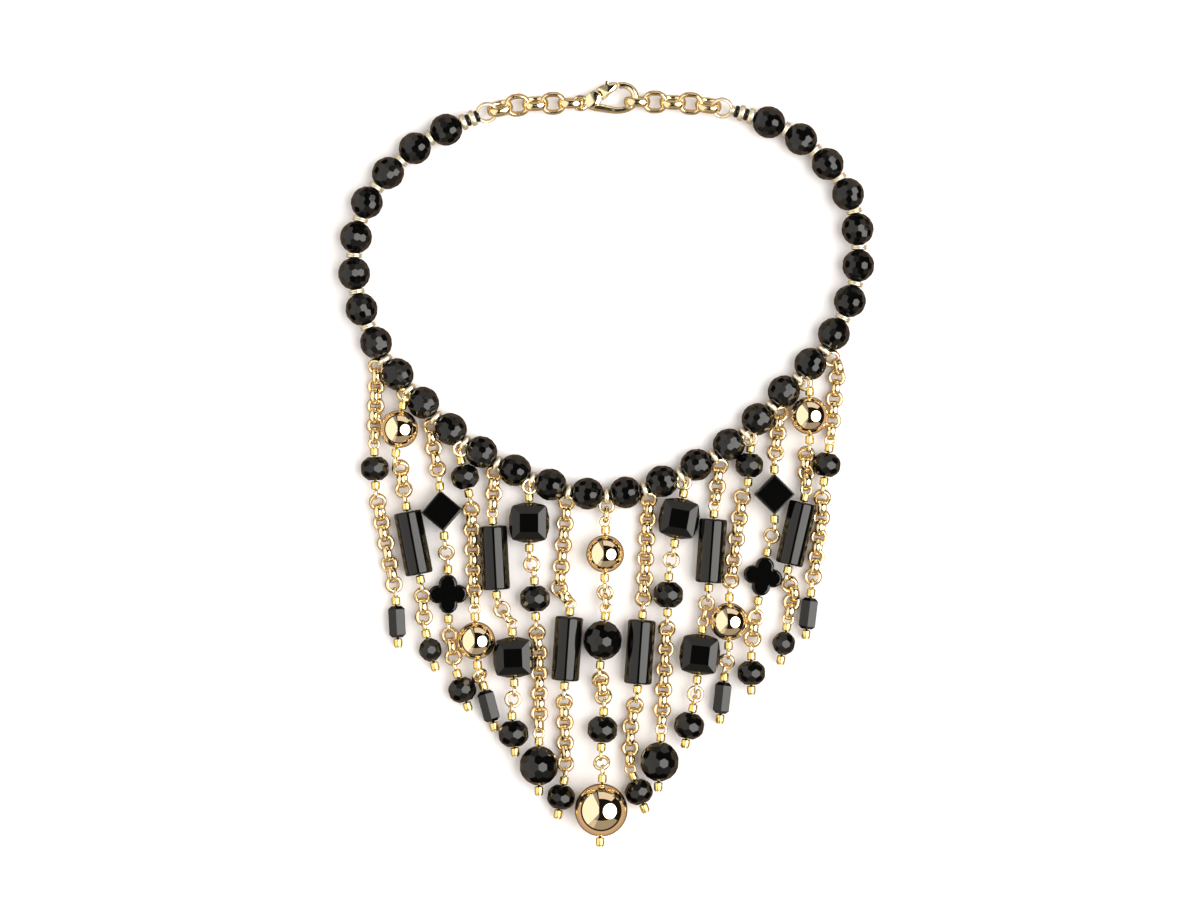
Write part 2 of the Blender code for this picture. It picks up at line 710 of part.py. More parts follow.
def chain_place(route, mark):
    """The middle of a lying chain at a distance along its run."""
    lengths = [(b - a).to_2d().length for a, b in zip(route, route[1:])]
    total = sum(lengths)
    passed = 0.0
    for a, b, length in zip(route, route[1:], lengths):
        if mark <= passed + length or b is route[-1]:
            place = a.lerp(b, (mark - passed) / length)
            break
        passed += length
    rise = max(0.0, 1 - mark / SAG_REACH) ** 2
    fall = max(0.0, 1 - (total - mark) / SAG_REACH) ** 2
    place.z = SLEEVE_REST + (route[0].z - SLEEVE_REST) * rise + (route[-1].z - SLEEVE_REST) * fall
    return place


def drop_chain(number):
    """A drop's hanger ring, chain sleeves, pins and tip as one piece, with its barrel if it has one."""
    stations = []
    parts = drop_layout(number)
    pin = PIN_DIAMETER / 2
    seed = SEED_DIAMETER / 2
    for index, part in enumerate(parts):
        if part[0] == "run":
            stations += chain_stations(part[1], index == 0)
            continue
        kind, middle, direction = part
        half = BEAD_SIZES[kind][0] / 2
        last = index == len(parts) - 1
        stations.append((middle - direction * (half + CLEARANCE), seed))
        stations.append((middle - direction * (half + CLEARANCE - STEP), pin))
        if kind == "barrel":
            rim = BARREL_ACROSS / 2
            for reach, radius in ((-half, rim - BARREL_BEVEL), (BARREL_BEVEL - half, rim),
                                  (half - BARREL_BEVEL, rim), (half, rim - BARREL_BEVEL)):
                stations.append((middle + direction * reach, radius))
        stations.append((middle + direction * (half + CLEARANCE - STEP), pin))
        stations.append((middle + direction * (half + CLEARANCE), seed))
        if last:
            tip = half + CLEARANCE + SEED_LENGTH + PIN_HEAD_LENGTH
            stations.append((middle + direction * tip, seed * 0.8))
    frame, outwards = hanger_frame(number)
    ring = ring_mesh(HANGER_DIAMETER, RING_WIRE, frame)
    return combine(tube_mesh(stations, 6), ring, "UNION")


def box_middle(objects):
    """The middle of the objects' box, seen from above."""
    corners = [obj.matrix_world @ vertex.co for obj in objects if obj.type == "MESH" for vertex in obj.data.vertices]
    low = Vector([min(corner[axis] for corner in corners) for axis in range(3)])
    high = Vector([max(corner[axis] for corner in corners) for axis in range(3)])
    return ((low + high) / 2).to_2d().to_3d()


def bead_frame(middle, direction):
    """A bead's frame: Z along its pin and Y up."""
    return axes_frame(middle, UP.cross(direction), UP)


clear_scene()
NECKLACE = make_collection("bib_necklace")
ROUTE = route_samples()
BLACK = make_material("black_stone", (0.006, 0.006, 0.006), 0.0, 0.08)
GOLD = make_material("gold_plate", (0.83, 0.58, 0.27), 1.0, 0.12)

finish("neck_string_left", neck_string(-1), BLACK)
finish("neck_string_right", neck_string(1), BLACK)
finish("closure_chain_left", closure_chain(-1), GOLD)
finish("closure_chain_right", closure_chain(1), GOLD)

clasp = bpy.data.objects.new("clasp", None)
NECKLACE.objects.link(clasp)
clasp.matrix_world = clasp_frame()
finish("clasp_claw", clasp_claw(), GOLD, clasp.matrix_world)
(pivot_x, pivot_y), = clasp_outline([LEVER_PIVOT])
finish("clasp_lever", clasp_lever(), GOLD, clasp.matrix_world @ Matrix.Translation((pivot_x, pivot_y, 0)))

BEADS = bead_meshes()
for number in range(len(DROPS)):
    finish(f"drop_chain_{number + 1:02d}", drop_chain(number), GOLD)
    for order, part in enumerate(drop_layout(number)):
        if part[0] in BEADS:
            kind, middle, direction = part
            material = GOLD if kind in ("gold_ball", "big_ball") else BLACK
            name = f"{kind}_{number + 1:02d}_{order // 2 + 1}"
            finish(name, BEADS[kind], material, bead_frame(middle, direction))

NECKLACE_MIDDLE = box_middle(NECKLACE.objects)
for obj in NECKLACE.objects:
    obj.location -= NECKLACE_MIDDLE
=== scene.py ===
"""Bib necklace, lying flat: cut black stones, gold balls and fifteen chain drops on a beaded thread.

Lengths are in metres. +Z is up from the surface, and +Y runs from the longest drop towards the clasp.
"""
import math
import random

import bmesh
import bpy
from mathutils import Matrix, Vector


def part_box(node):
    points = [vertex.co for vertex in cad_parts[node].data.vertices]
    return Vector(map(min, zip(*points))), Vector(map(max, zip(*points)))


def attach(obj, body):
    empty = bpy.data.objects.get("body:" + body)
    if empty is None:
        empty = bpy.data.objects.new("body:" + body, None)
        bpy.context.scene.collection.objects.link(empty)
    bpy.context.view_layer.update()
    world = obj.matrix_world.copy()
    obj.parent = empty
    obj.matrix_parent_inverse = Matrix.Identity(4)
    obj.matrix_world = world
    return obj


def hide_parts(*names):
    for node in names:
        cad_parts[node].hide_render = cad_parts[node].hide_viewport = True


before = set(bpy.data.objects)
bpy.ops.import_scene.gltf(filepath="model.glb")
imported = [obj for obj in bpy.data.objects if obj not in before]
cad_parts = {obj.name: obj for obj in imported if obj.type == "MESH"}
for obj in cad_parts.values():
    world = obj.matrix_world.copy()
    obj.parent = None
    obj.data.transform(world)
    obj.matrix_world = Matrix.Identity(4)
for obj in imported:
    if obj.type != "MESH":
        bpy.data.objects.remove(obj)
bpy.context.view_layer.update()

MM = 0.001
CLEARANCE = 0.35 * MM
UP = Vector((0, 0, 1))
random.seed(15)

# Neck string, counted from the middle of the neckline outwards
NECK_BEAD = 10.0 * MM
THREAD_RADIUS = 0.45 * MM
THREAD_STEPS = 120
BEADS_PER_SIDE = 15
HANGERS_PER_SIDE = 7
HANGER_GAP = 2.0 * MM
SPACER_GAP = 1.45 * MM
SPACER_DIAMETER = 5.0 * MM
SPACER_THICKNESS = 0.66 * MM
SPACER_PITCH = 0.6864 * MM
SPACER_BORE = 1.2 * MM
SPACER_ROUNDING = 0.3 * MM
SPACER_MARGIN = 0.1 * MM
END_DISC_DIAMETER = 5.1 * MM
END_DISC_THICKNESS = 1.7 * MM
END_BEAD_DIAMETER = 3.8 * MM
END_BEAD_LENGTH = 1.4 * MM
END_CUP_DIAMETER = 3.0 * MM
END_CUP_LENGTH = 1.6 * MM
END_BORE = 1.0 * MM
END_ROUNDING = 0.4 * MM
END_SEAM = 0.06 * MM
NECK_HEIGHT = NECK_BEAD / 2
BEAD_ROLL = 15

# The neck string's route from the left chain round the neckline to the right chain, in millimetres
NECK_ROUTE = [
    (-9.1, 113.4), (-28.7, 112.6), (-43.0, 108.2), (-60.8, 98.8), (-75.8, 81.6), (-79.6, 59.4),
    (-72.6, 37.6), (-57.6, 18.6), (-39.4, 3.3), (-17.6, -6.9), (-0.2, -9.9), (17.2, -5.8), (38.3, 5.8),
    (55.6, 22.5), (71.5, 40.9), (79.0, 61.9), (75.8, 84.6), (61.0, 101.9), (43.2, 109.8), (27.1, 113.1),
    (6.6, 113.9)]
ROUTE_MIDDLE = 10
ROUTE_SAMPLES = 24

# Small round rings that hold the drops, and the drops' own links and pins. Three or more links in a row take
# LINK_OUTSIDE, LINK_SECTION and LINK_BAND; single ones and pairs take LINK_DIAMETER and the JUMP sizes.
RING_WIRE = 1.0 * MM
HANGER_DIAMETER = 5.1 * MM
HANGER_WIRE = 0.9 * MM
HANGER_BAND = 1.7 * MM
HANGER_SHIFT = 0.6 * MM
END_RING_DIAMETER = 7.0 * MM
END_RING_BAND = 1.9 * MM
LINK_DIAMETER = 5.5 * MM
LINK_WIRE = 1.05 * MM
LINKS_OF_CHAIN = 3
LINK_OUTSIDE = 5.7 * MM
LINK_SECTION = 1.3 * MM
LINK_BAND = 2.7 * MM
JUMP_WIRE = 1.15 * MM
JUMP_BAND = 1.5 * MM
LINK_HOLE = LINK_DIAMETER - 2 * LINK_WIRE
LINK_REST = 2.15 * MM
HANGER_HOLE = HANGER_DIAMETER - 2 * RING_WIRE
LOOP_DIAMETER = 4.0 * MM
LOOP_HOLE = 2.4 * MM
LOOP_REACH = 1.5 * MM
LINK_ROLL = 14
SEED_LENGTH = 2.6 * MM
SEED_DIAMETER = 2.7 * MM
SEED_BORE = 0.9 * MM
SEED_ROUNDING = 0.8 * MM
PIN_RADIUS = 0.4 * MM
PIN_CHAMFER = 0.1 * MM
PIN_HEAD_LENGTH = 0.3 * MM
PIN_HEAD_RADIUS = 0.4 * SEED_DIAMETER
SAG_REACH = 8.0 * MM

# Fringe beads
GOLD_BALL = 11.8 * MM
BIG_BALL = 16.5 * MM
BALL_LIP = 0.75 * MM
BALL_WALL = 0.5 * MM
BLACK_BALL = 12.1 * MM
SMALL_BALL = 7.2 * MM
RONDELLE_LARGE = 9.7 * MM
RONDELLE_LARGE_LENGTH = 7.9 * MM
RONDELLE_SMALL = 9.0 * MM
RONDELLE_SMALL_LENGTH = 7.3 * MM
RONDELLE_CROWN = 1.08
RONDELLE_END = 0.97
TUBE_ACROSS = 8.7 * MM
TUBE_LENGTH = 20.0 * MM
TUBE_BORE = 0.6 * MM
TUBE_FILLET = 0.7 * MM
CUSHION_SIDE = 12.6 * MM
CUSHION_DEPTH = 9.0 * MM
CUSHION_TABLE = 5.8 * MM
CUSHION_SHOULDER = Vector((5.3, 3.0)) * MM
CUSHION_GIRDLE = 0.9 * MM
CUSHION_CORNER = {0: 1.0, 15: 1.035, 30: 1.13, 45: 1.19}
CUBE_SIDE = 9.0 * MM
CUBE_BEVEL = 0.4 * MM
CLOVER_ACROSS = 12.2 * MM
CLOVER_DEPTH = 4.6 * MM
CLOVER_LOBE = 0.232 * CLOVER_ACROSS
CLOVER_ARC = 98
CLOVER_ROUNDING = 0.7 * MM
BARREL_ACROSS = 5.8 * MM
BARREL_LENGTH = 9.8 * MM
BARREL_BEVEL = 0.9 * MM

# Closure
CLOSURE_LINKS = 5
CLOSURE_LINK_LENGTH = 8.3 * MM
CLOSURE_LINK_WIDTH = 7.2 * MM
CLOSURE_WIRE = 1.6 * MM
CLOSURE_BAND = 2.8 * MM
CLOSURE_BITE = 0.5 * MM
CLOSURE_PITCH = CLOSURE_LINK_LENGTH - 2 * CLOSURE_WIRE + CLOSURE_BITE
CLOSURE_HEIGHT = CLOSURE_LINK_WIDTH / 2 + 0.05 * MM
CLOSURE_FALL = 0.6
CLOSURE_TILTS = (60, -15, 65, -12, 80)
CLASP_LENGTH = 18.3 * MM
CLASP_UNIT = CLASP_LENGTH / 18
CLASP_THICKNESS = 2.8 * MM
TAIL_RADIUS = 2.6 * MM
TAIL_HOLE = 1.55 * MM
TAIL_BAND = 1.6 * MM
TAIL_SETBACK = 0.25 * MM
NOSE_ROOM = 1.1 * MM
LEVER_THICKNESS = 1.2 * MM
LEVER_PIN_RADIUS = 0.45 * MM
LEVER_ROOT_RADIUS = 1.5 * MM
LEVER_ROUNDING = 0.2 * MM
DOME_POINT = 1.7
DOME_SHOULDER = 0.85
RIVET_CROWN = 0.03 * MM
RIVET_EDGE = 0.12 * MM

# Clasp outlines in eighteenths of its length, from the middle of the tail hole towards the nose.
# The arm's run gives the middle line of its round bar and the bar's radius.
LEVER_PIVOT = (3.8, 1.3)
NOSE_INNER = (16.0, 0.4)
CHEEK_BACK = [(3.2, 3.4), (2.2, 2.6), (1.4, 1.4), (1.3, 0.0), (1.9, -1.1), (3.3, -1.7)]
CHEEK_REACH = 2.6
CHEEK_RISE = 0.8 * MM
CHEEK_CREST = (4.7, 0.2)
BLADE_CREST = (8.6, 3.2)
BLADE_TIP = [
    (7.9, 1.5), (9.2, 2.9), (10.9, 4.0), (11.4, 4.9), (11.2, 6.2), (9.5, 6.3), (7.9, 5.9), (6.0, 5.1)]
BLADE_START = CHEEK_REACH + 0.3
BLADE_THICKNESS = 2.7 * MM
ROOT_CORNERS = [(6.4, 1.5), (8.6, 3.0), (7.6, 4.6), (5.8, 4.1), (4.4, 2.9)]
THUMB_SPUR = [(7.1, 5.0), (7.8, 6.8), (8.3, 6.8), (8.9, 5.2)]
ARM_RUN = [
    (1.6, 0.1, 0.75), (2.4, -0.7, 1.0), (4.2, -1.2, 1.2), (6.5, -1.6, 1.2), (9.0, -2.1, 1.1),
    (11.5, -2.4, 1.0), (14.0, -2.0, 1.0), (15.9, -0.8, 1.1), (16.8, 0.9, 1.15), (16.6, 2.9, 1.1),
    (15.4, 4.6, 1.05), (13.7, 5.35, 1.0), (12.6, 5.4, 1.0), (12.0, 5.35, 0.97), (11.7, 5.3, 0.9)]

# Drops, left to right. A run is (links, share of its taut length, lean); a bead is (kind, lean).
# Leans are degrees from straight down, positive towards +X.
DROPS = [
    [(1, 1.00, -48), (7, 0.91, -1.8), ("rondelle_small", 2), (9, 0.97, 11), ("barrel", 3)],
    [(1, 0.30, -15), ("gold_ball", -8), (1, 1.00, 36), (2, 1.00, 8), ("tube", 11), (3, 0.98, 3),
     ("small_ball", 15)],
    [(2, 1.00, -3), (3, 1.00, 11), ("cube", 5), (1, 1.00, 8), ("clover", 1), (3, 1.00, 9),
     ("rondelle_small", 18)],
    [(1, 0.45, -19), ("rondelle_small", 13), (10, 0.93, 2.2), ("gold_ball", 3), (1, 0.38, 26),
     ("barrel", 15)],
    [(4, 0.96, -3), ("tube", 3), (2, 0.90, 35), ("cushion", 2), (1, 0.97, -10), ("rondelle_large", 5)],
    [(1, 0.36, -8), ("cushion", 0), (1, 0.97, 16), ("rondelle_large", 2), (3, 0.94, 6), (7, 0.94, 0),
     ("black_ball", 0)],
    [(9, 1.00, -5), (1, 0.95, 36), ("tube", -4), (7, 0.95, 1), ("rondelle_small", -10)],
    [(2, 0.81, -3), ("gold_ball", -1), (2, 0.77, 4), ("black_ball", -6), (3, 0.79, 9),
     ("rondelle_large", -4), (1, 0.80, 7), ("big_ball", -2)],
    [(1, 1.00, 28), (10, 0.92, -3), ("tube", -4), (3, 1.00, -12), (3, 1.00, 0), ("rondelle_small", 20)],
    [(1, 0.44, 20), ("cushion", -10), (1, 1.00, -13), ("rondelle_large", -2), (10, 0.94, -3.2),
     ("black_ball", -3)],
    [(1, 1.00, 35), (3, 0.98, -7.5), ("tube", -4), (2, 0.90, -11), ("cushion", -6), (1, 0.72, -8),
     ("rondelle_large", -12)],
    [(1, 0.28, 42), ("rondelle_small", -4), (1, 1.00, -35), (8, 0.97, -8), ("gold_ball", -1),
     (1, 0.90, -10), ("barrel", -6)],
    [(1, 1.00, 58), (4, 0.93, -7), ("cube", 0), (1, 1.00, -16), ("clover", -11), (3, 1.00, -8),
     ("rondelle_small", 0)],
    [(1, 0.50, 80), ("gold_ball", 0), (1, 0.84, -22), (3, 0.84, 0), ("tube", -13), (2, 0.87, 26),
     (2, 0.87, -12), ("small_ball", -10)],
    [(2, 1.00, 38), (6, 1.00, -6), ("rondelle_small", -9), (3, 0.92, -2), (6, 0.92, -8), ("barrel", -7)],
]

# Each fringe bead's length along its pin, and the height of its pin above the surface
BEAD_SIZES = {
    "gold_ball": (GOLD_BALL, GOLD_BALL / 2),
    "big_ball": (BIG_BALL, BIG_BALL / 2),
    "black_ball": (BLACK_BALL, BLACK_BALL / 2),
    "small_ball": (SMALL_BALL, SMALL_BALL / 2),
    "rondelle_large": (RONDELLE_LARGE_LENGTH, RONDELLE_LARGE / 2),
    "rondelle_small": (RONDELLE_SMALL_LENGTH, RONDELLE_SMALL / 2),
    "tube": (TUBE_LENGTH, TUBE_ACROSS / 2),
    "cushion": (CUSHION_SIDE, CUSHION_DEPTH / 2),
    "cube": (CUBE_SIDE * math.sqrt(2) - CUBE_BEVEL, CUBE_SIDE / 2),
    "clover": (CLOVER_ACROSS, CLOVER_DEPTH / 2),
    "barrel": (BARREL_LENGTH, BARREL_ACROSS / 2),
}
GOLD_KINDS = ("gold_ball", "big_ball")


def add_node(tree, kind, inputs=(), **settings):
    """Add a node with its settings; inputs maps a socket's name or number to a value or to an output."""
    node = tree.nodes.new(kind)
    for key, value in settings.items():
        setattr(node, key, value)
    for key, value in dict(inputs).items():
        if isinstance(value, bpy.types.NodeSocket):
            tree.links.new(value, node.inputs[key])
        else:
            node.inputs[key].default_value = value
    return node


def linear(code):
    """A linear colour from an sRGB hex code."""
    channels = [int(code[i:i + 2], 16) / 255 for i in (1, 3, 5)]
    return tuple(c / 12.92 if c <= 0.04045 else ((c + 0.055) / 1.055) ** 2.4 for c in channels) + (1.0,)


def per_mm(size):
    """A texture's scale for a pattern whose grain is this many millimetres."""
    return 1 / (size * MM)


def polished_material(name, colour, metallic, roughness, spread, wave, height, ior=None):
    """A polished surface: roughness in soft patches, and a slight wave that the polishing wheel leaves."""
    material = bpy.data.materials.new(name)
    material.use_nodes = True
    tree = material.node_tree
    shader = tree.nodes["Principled BSDF"]
    shader.inputs["Base Color"].default_value = linear(colour)
    shader.inputs["Metallic"].default_value = metallic
    if ior is not None:
        shader.inputs["IOR"].default_value = ior
    place = add_node(tree, "ShaderNodeTexCoord").outputs["Object"]
    patches = add_node(tree, "ShaderNodeTexNoise", {"Vector": place, "Scale": per_mm(wave), "Detail": 3.0})
    finish = add_node(tree, "ShaderNodeMapRange", {
        "Value": patches.outputs["Fac"], "From Min": 0.3, "From Max": 0.7,
        "To Min": roughness - spread, "To Max": roughness + spread})
    bump = add_node(tree, "ShaderNodeBump", {
        "Height": patches.outputs["Fac"], "Strength": 1.0, "Distance": height * MM})
    tree.links.new(finish.outputs["Result"], shader.inputs["Roughness"])
    tree.links.new(bump.outputs["Normal"], shader.inputs["Normal"])
    return material


# Onyx, cut and wheel-polished: nearly black, with crisp mirror facets
ONYX = polished_material("cut_polished_onyx", "#050505", 0.0, 0.06, 0.03, 1.2, 0.003, 1.44)
# Gold plate on drawn brass wire, barrel-polished: warm yellow-rose with slightly soft highlights
WIRE_GOLD = polished_material("barrel_polished_gold_wire", "#f1dbac", 1.0, 0.15, 0.05, 0.6, 0.01)
# Gold plate on cast and tumbled brass: smooth, with soft bright highlights
CLASP_GOLD = polished_material("tumbled_gold_casting", "#f4e3ba", 1.0, 0.12, 0.04, 1.5, 0.006)
# Gold plate on spun brass, mirror-polished: clear reflections of the room
BALL_GOLD = polished_material("mirror_polished_gold_ball", "#f6e0bd", 1.0, 0.05, 0.02, 2.5, 0.004)
# Gold plate on small cut brass beads: deeper yellow, a little duller
SEED_GOLD = polished_material("tumbled_gold_bead", "#f0d684", 1.0, 0.26, 0.06, 0.5, 0.01)
# Pale gold plate on stamped brass rings: light and bright
PALE_GOLD = polished_material("stamped_pale_gold", "#fbf1d6", 1.0, 0.4, 0.06, 0.6, 0.01)
# Waxed nylon beading thread: dark, with a dull sheen
THREAD = polished_material("waxed_nylon_thread", "#1b1a19", 0.0, 0.55, 0.1, 0.3, 0.02)


def axes_frame(place, x_axis, y_axis):
    z_axis = x_axis.cross(y_axis)
    return Matrix.Translation(place) @ Matrix((x_axis, y_axis, z_axis)).transposed().to_4x4()


def tilted_frame(place, along, tilt):
    """A frame with X along a chain and its XY plane turned round that line by a tilt in degrees."""
    level = UP.cross(along).normalized()
    sideways = Matrix.Rotation(math.radians(tilt), 3, along) @ level
    return axes_frame(place, along, sideways)


def bead_frame(middle, direction):
    """A bead's frame: Z along its pin and Y up."""
    return axes_frame(middle, UP.cross(direction), UP)


def lean_direction(lean):
    angle = math.radians(lean)
    return Vector((math.sin(angle), -math.cos(angle), 0))


def clasp_outline(points):
    return [(x * CLASP_UNIT, y * CLASP_UNIT) for x, y in points]


def circle_outline(center, radius, count, start=0.0, end=360.0):
    """Points round an arc; a whole circle leaves out its last point."""
    steps = count if end - start >= 360 else count - 1
    points = []
    for i in range(count):
        angle = math.radians(start + (end - start) * i / steps)
        points.append((center[0] + radius * math.cos(angle), center[1] + radius * math.sin(angle)))
    return points


def spline_point(before, start, end, after, t):
    """A point on a smooth curve from start to end, with the points before and after them."""
    return 0.5 * (2 * start + (end - before) * t + (2 * before - 5 * start + 4 * end - after) * t ** 2
                  + (3 * start - before - 3 * end + after) * t ** 3)


def smooth_run(points, steps):
    """Points along a smooth open curve through the given ones."""
    run = [2 * points[0] - points[1]] + points + [2 * points[-1] - points[-2]]
    samples = [spline_point(*run[i:i + 4], s / steps) for i in range(len(points) - 1) for s in range(steps)]
    return samples + [points[-1]]


def rounded_outline(points, steps):
    """A closed outline drawn smoothly through its points."""
    run = [Vector(point) for point in points[-1:] + points + points[:2]]
    return [spline_point(*run[i:i + 4], s / steps) for i in range(len(points)) for s in range(steps)]


def neck_bead_distance(index):
    """How far along the thread a neck bead's middle is from the middle of the neckline."""
    hanging = min(index, HANGERS_PER_SIDE)
    spaced = index - hanging
    return (NECK_BEAD + HANGER_GAP) * (hanging + 0.5) + (NECK_BEAD + SPACER_GAP) * spaced


def end_stack(side):
    """Lengths and diameters of what lies beyond the last neck bead, with a cup on the right."""
    disc = (END_DISC_THICKNESS, END_DISC_DIAMETER)
    small = (END_BEAD_LENGTH, END_BEAD_DIAMETER)
    cup = (END_CUP_LENGTH, END_CUP_DIAMETER)
    return [disc, small, disc, small] + ([cup] if side > 0 else [])


def string_end(side):
    """How far the neck string reaches from the middle of the neckline, without its end ring."""
    last = neck_bead_distance(BEADS_PER_SIDE - 1) + NECK_BEAD / 2
    return last + SPACER_MARGIN + sum(length for length, diameter in end_stack(side))


def first_link_distance(side):
    """How far the first closure link's middle is from the middle of the neckline."""
    ring_far_side = string_end(side) + END_RING_DIAMETER - 2 * RING_WIRE
    return ring_far_side - 2 * CLEARANCE - CLOSURE_WIRE + CLOSURE_LINK_LENGTH / 2


def grip_point():
    """Where the wire of the last right link stands in the hook, in the clasp's frame."""
    (x, y), = clasp_outline([NOSE_INNER])
    return Vector((x - NOSE_ROOM - CLOSURE_WIRE / 2, y, 0))


def loop_length():
    """The whole loop: both strings and chains, and the clasp between them."""
    links = CLOSURE_PITCH * (CLOSURE_LINKS - 1) + (CLOSURE_LINK_LENGTH - CLOSURE_WIRE) / 2
    return first_link_distance(-1) + first_link_distance(1) + 2 * links + grip_point().length - TAIL_SETBACK


def route_samples():
    """Points along a smooth curve through the neck route, and their distance along it from its middle."""
    points = [Vector((x * MM, y * MM, 0)) for x, y in NECK_ROUTE]
    samples = smooth_run(points, ROUTE_SAMPLES)
    distances = [0.0]
    for a, b in zip(samples, samples[1:]):
        distances.append(distances[-1] + (b - a).length)
    middle = distances[ROUTE_MIDDLE * ROUTE_SAMPLES]
    scale = loop_length() / (distances[-1] + (points[-1] - points[0]).length)
    return [sample * scale for sample in samples], [(distance - middle) * scale for distance in distances]


def route_place(distance):
    """The place and the direction at a signed distance from the middle of the neckline."""
    samples, distances = ROUTE
    index = 0
    while index < len(distances) - 2 and distances[index + 1] < distance:
        index += 1
    share = (distance - distances[index]) / (distances[index + 1] - distances[index])
    direction = (samples[index + 1] - samples[index]).normalized()
    return samples[index].lerp(samples[index + 1], share) + OFFSET, direction


def hanger_frame(number):
    """A drop's hanger ring: round the thread, shifted away from the neckline's middle and down."""
    place, direction = route_place((NECK_BEAD + HANGER_GAP) * (number - HANGERS_PER_SIDE))
    outwards = direction.cross(UP)
    place = place + UP * (NECK_HEIGHT - HANGER_SHIFT) + outwards * HANGER_SHIFT
    return axes_frame(place, outwards, UP), outwards


def drop_layout(number):
    """Runs of chain as ("run", route, each link's distance along it), beads as (kind, middle, direction)."""
    hanger, outwards = hanger_frame(number)
    pen = hanger.translation + outwards * HANGER_HOLE / 2
    hole = 0.0
    lean = lean_direction(0)
    share = 1.0
    passed = 0.0
    route = [pen.copy()]
    marks = []
    parts = []
    for piece in DROPS[number]:
        if isinstance(piece[0], str):
            kind = piece[0]
            length, height = BEAD_SIZES[kind]
            pen = pen + lean * share * (hole + LOOP_HOLE) / 2
            pen.z = height
            route.append(pen)
            parts.append(("run", route, marks))
            direction = lean_direction(piece[1])
            reach = LOOP_REACH + SEED_LENGTH + length / 2
            middle = pen + direction * reach
            parts.append((kind, middle, direction))
            pen = middle + direction * reach
            hole = LOOP_HOLE
            passed = 0.0
            route = [pen.copy()]
            marks = []
        else:
            links, share, angle = piece
            lean = lean_direction(angle)
            for i in range(links):
                step = share * (hole + LINK_HOLE) / 2
                pen = pen + lean * step
                passed += step
                marks.append(passed)
                hole = LINK_HOLE
            route.append(pen.copy())
    return parts


def chain_place(route, mark):
    """The middle of a lying chain at a distance along its run, sagging to the surface between its ends."""
    lengths = [(b - a).to_2d().length for a, b in zip(route, route[1:])]
    total = sum(lengths)
    passed = 0.0
    for a, b, length in zip(route, route[1:], lengths):
        if mark <= passed + length or b is route[-1]:
            place = a.lerp(b, (mark - passed) / length)
            break
        passed += length
    rise = max(0.0, 1 - mark / SAG_REACH) ** 2
    fall = max(0.0, 1 - (total - mark) / SAG_REACH) ** 2
    place.z = LINK_REST + (route[0].z - LINK_REST) * rise + (route[-1].z - LINK_REST) * fall
    return place


def end_ring_frame(side):
    """The ring at a string's end, its plane square to the first link of the closure chain."""
    place, direction = route_place(side * (string_end(side) + END_RING_DIAMETER / 2 - RING_WIRE))
    return tilted_frame(place + UP * NECK_HEIGHT, direction * side, side * CLOSURE_TILTS[0] + 90)


def closure_places(side):
    """A place before the closure links, then their middles, from the neck string towards the clasp."""
    first = first_link_distance(side)
    place, direction = route_place(side * (first - CLOSURE_PITCH))
    places = [place + UP * NECK_HEIGHT]
    for index in range(CLOSURE_LINKS):
        place, direction = route_place(side * (first + CLOSURE_PITCH * index))
        fall = CLOSURE_FALL ** (index + 1)
        places.append(place + UP * (CLOSURE_HEIGHT + (NECK_HEIGHT - CLOSURE_HEIGHT) * fall))
    return places


def closure_directions(places):
    """Each closure link's direction, from its neighbours on both sides."""
    last = len(places) - 1
    return [(places[min(i + 1, last)] - places[i - 1]).normalized() for i in range(1, len(places))]


def clasp_frame():
    """The clasp's frame: its origin in the tail hole, the last right link in its hook."""
    left = closure_places(-1)
    right = closure_places(1)
    reach = (CLOSURE_LINK_LENGTH - CLOSURE_WIRE) / 2
    tail = left[-1] + closure_directions(left)[-1] * (reach - TAIL_SETBACK)
    grip = right[-1] + closure_directions(right)[-1] * reach
    along = grip - tail
    along.z = 0
    turn = math.atan2(grip_point().y, grip_point().x)
    return tilted_frame(tail, Matrix.Rotation(-turn, 3, "Z") @ along.normalized(), 0)


# The CAD model is centred on its own box: the route is moved so that the big ball is where the CAD has it
OFFSET = Vector((0, 0, 0))
ROUTE = route_samples()
BIG_BALL_DROP = 7
low_corner, high_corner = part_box("big_ball_08_4")
big_ball_middle = drop_layout(BIG_BALL_DROP)[-1][1]
OFFSET = ((Vector(low_corner) + Vector(high_corner)) / 2 - big_ball_middle).to_2d().to_3d()


def new_tree(name, sizes, kind="NodeSocketFloat"):
    """An empty Geometry Nodes tree with a geometry input, named inputs and a geometry output."""
    tree = bpy.data.node_groups.new(name, "GeometryNodeTree")
    tree.interface.new_socket("Geometry", in_out="INPUT", socket_type="NodeSocketGeometry")
    for size in sizes:
        tree.interface.new_socket(size, in_out="INPUT", socket_type=kind)
    tree.interface.new_socket("Material", in_out="INPUT", socket_type="NodeSocketMaterial")
    tree.interface.new_socket("Geometry", in_out="OUTPUT", socket_type="NodeSocketGeometry")
    return tree, add_node(tree, "NodeGroupInput").outputs


def half_of(tree, first, second, operation):
    """Half the sum or half the difference of two sizes."""
    total = add_node(tree, "ShaderNodeMath", {0: first, 1: second}, operation=operation)
    return add_node(tree, "ShaderNodeMath", {0: total.outputs[0], 1: 0.5}, operation="MULTIPLY").outputs[0]


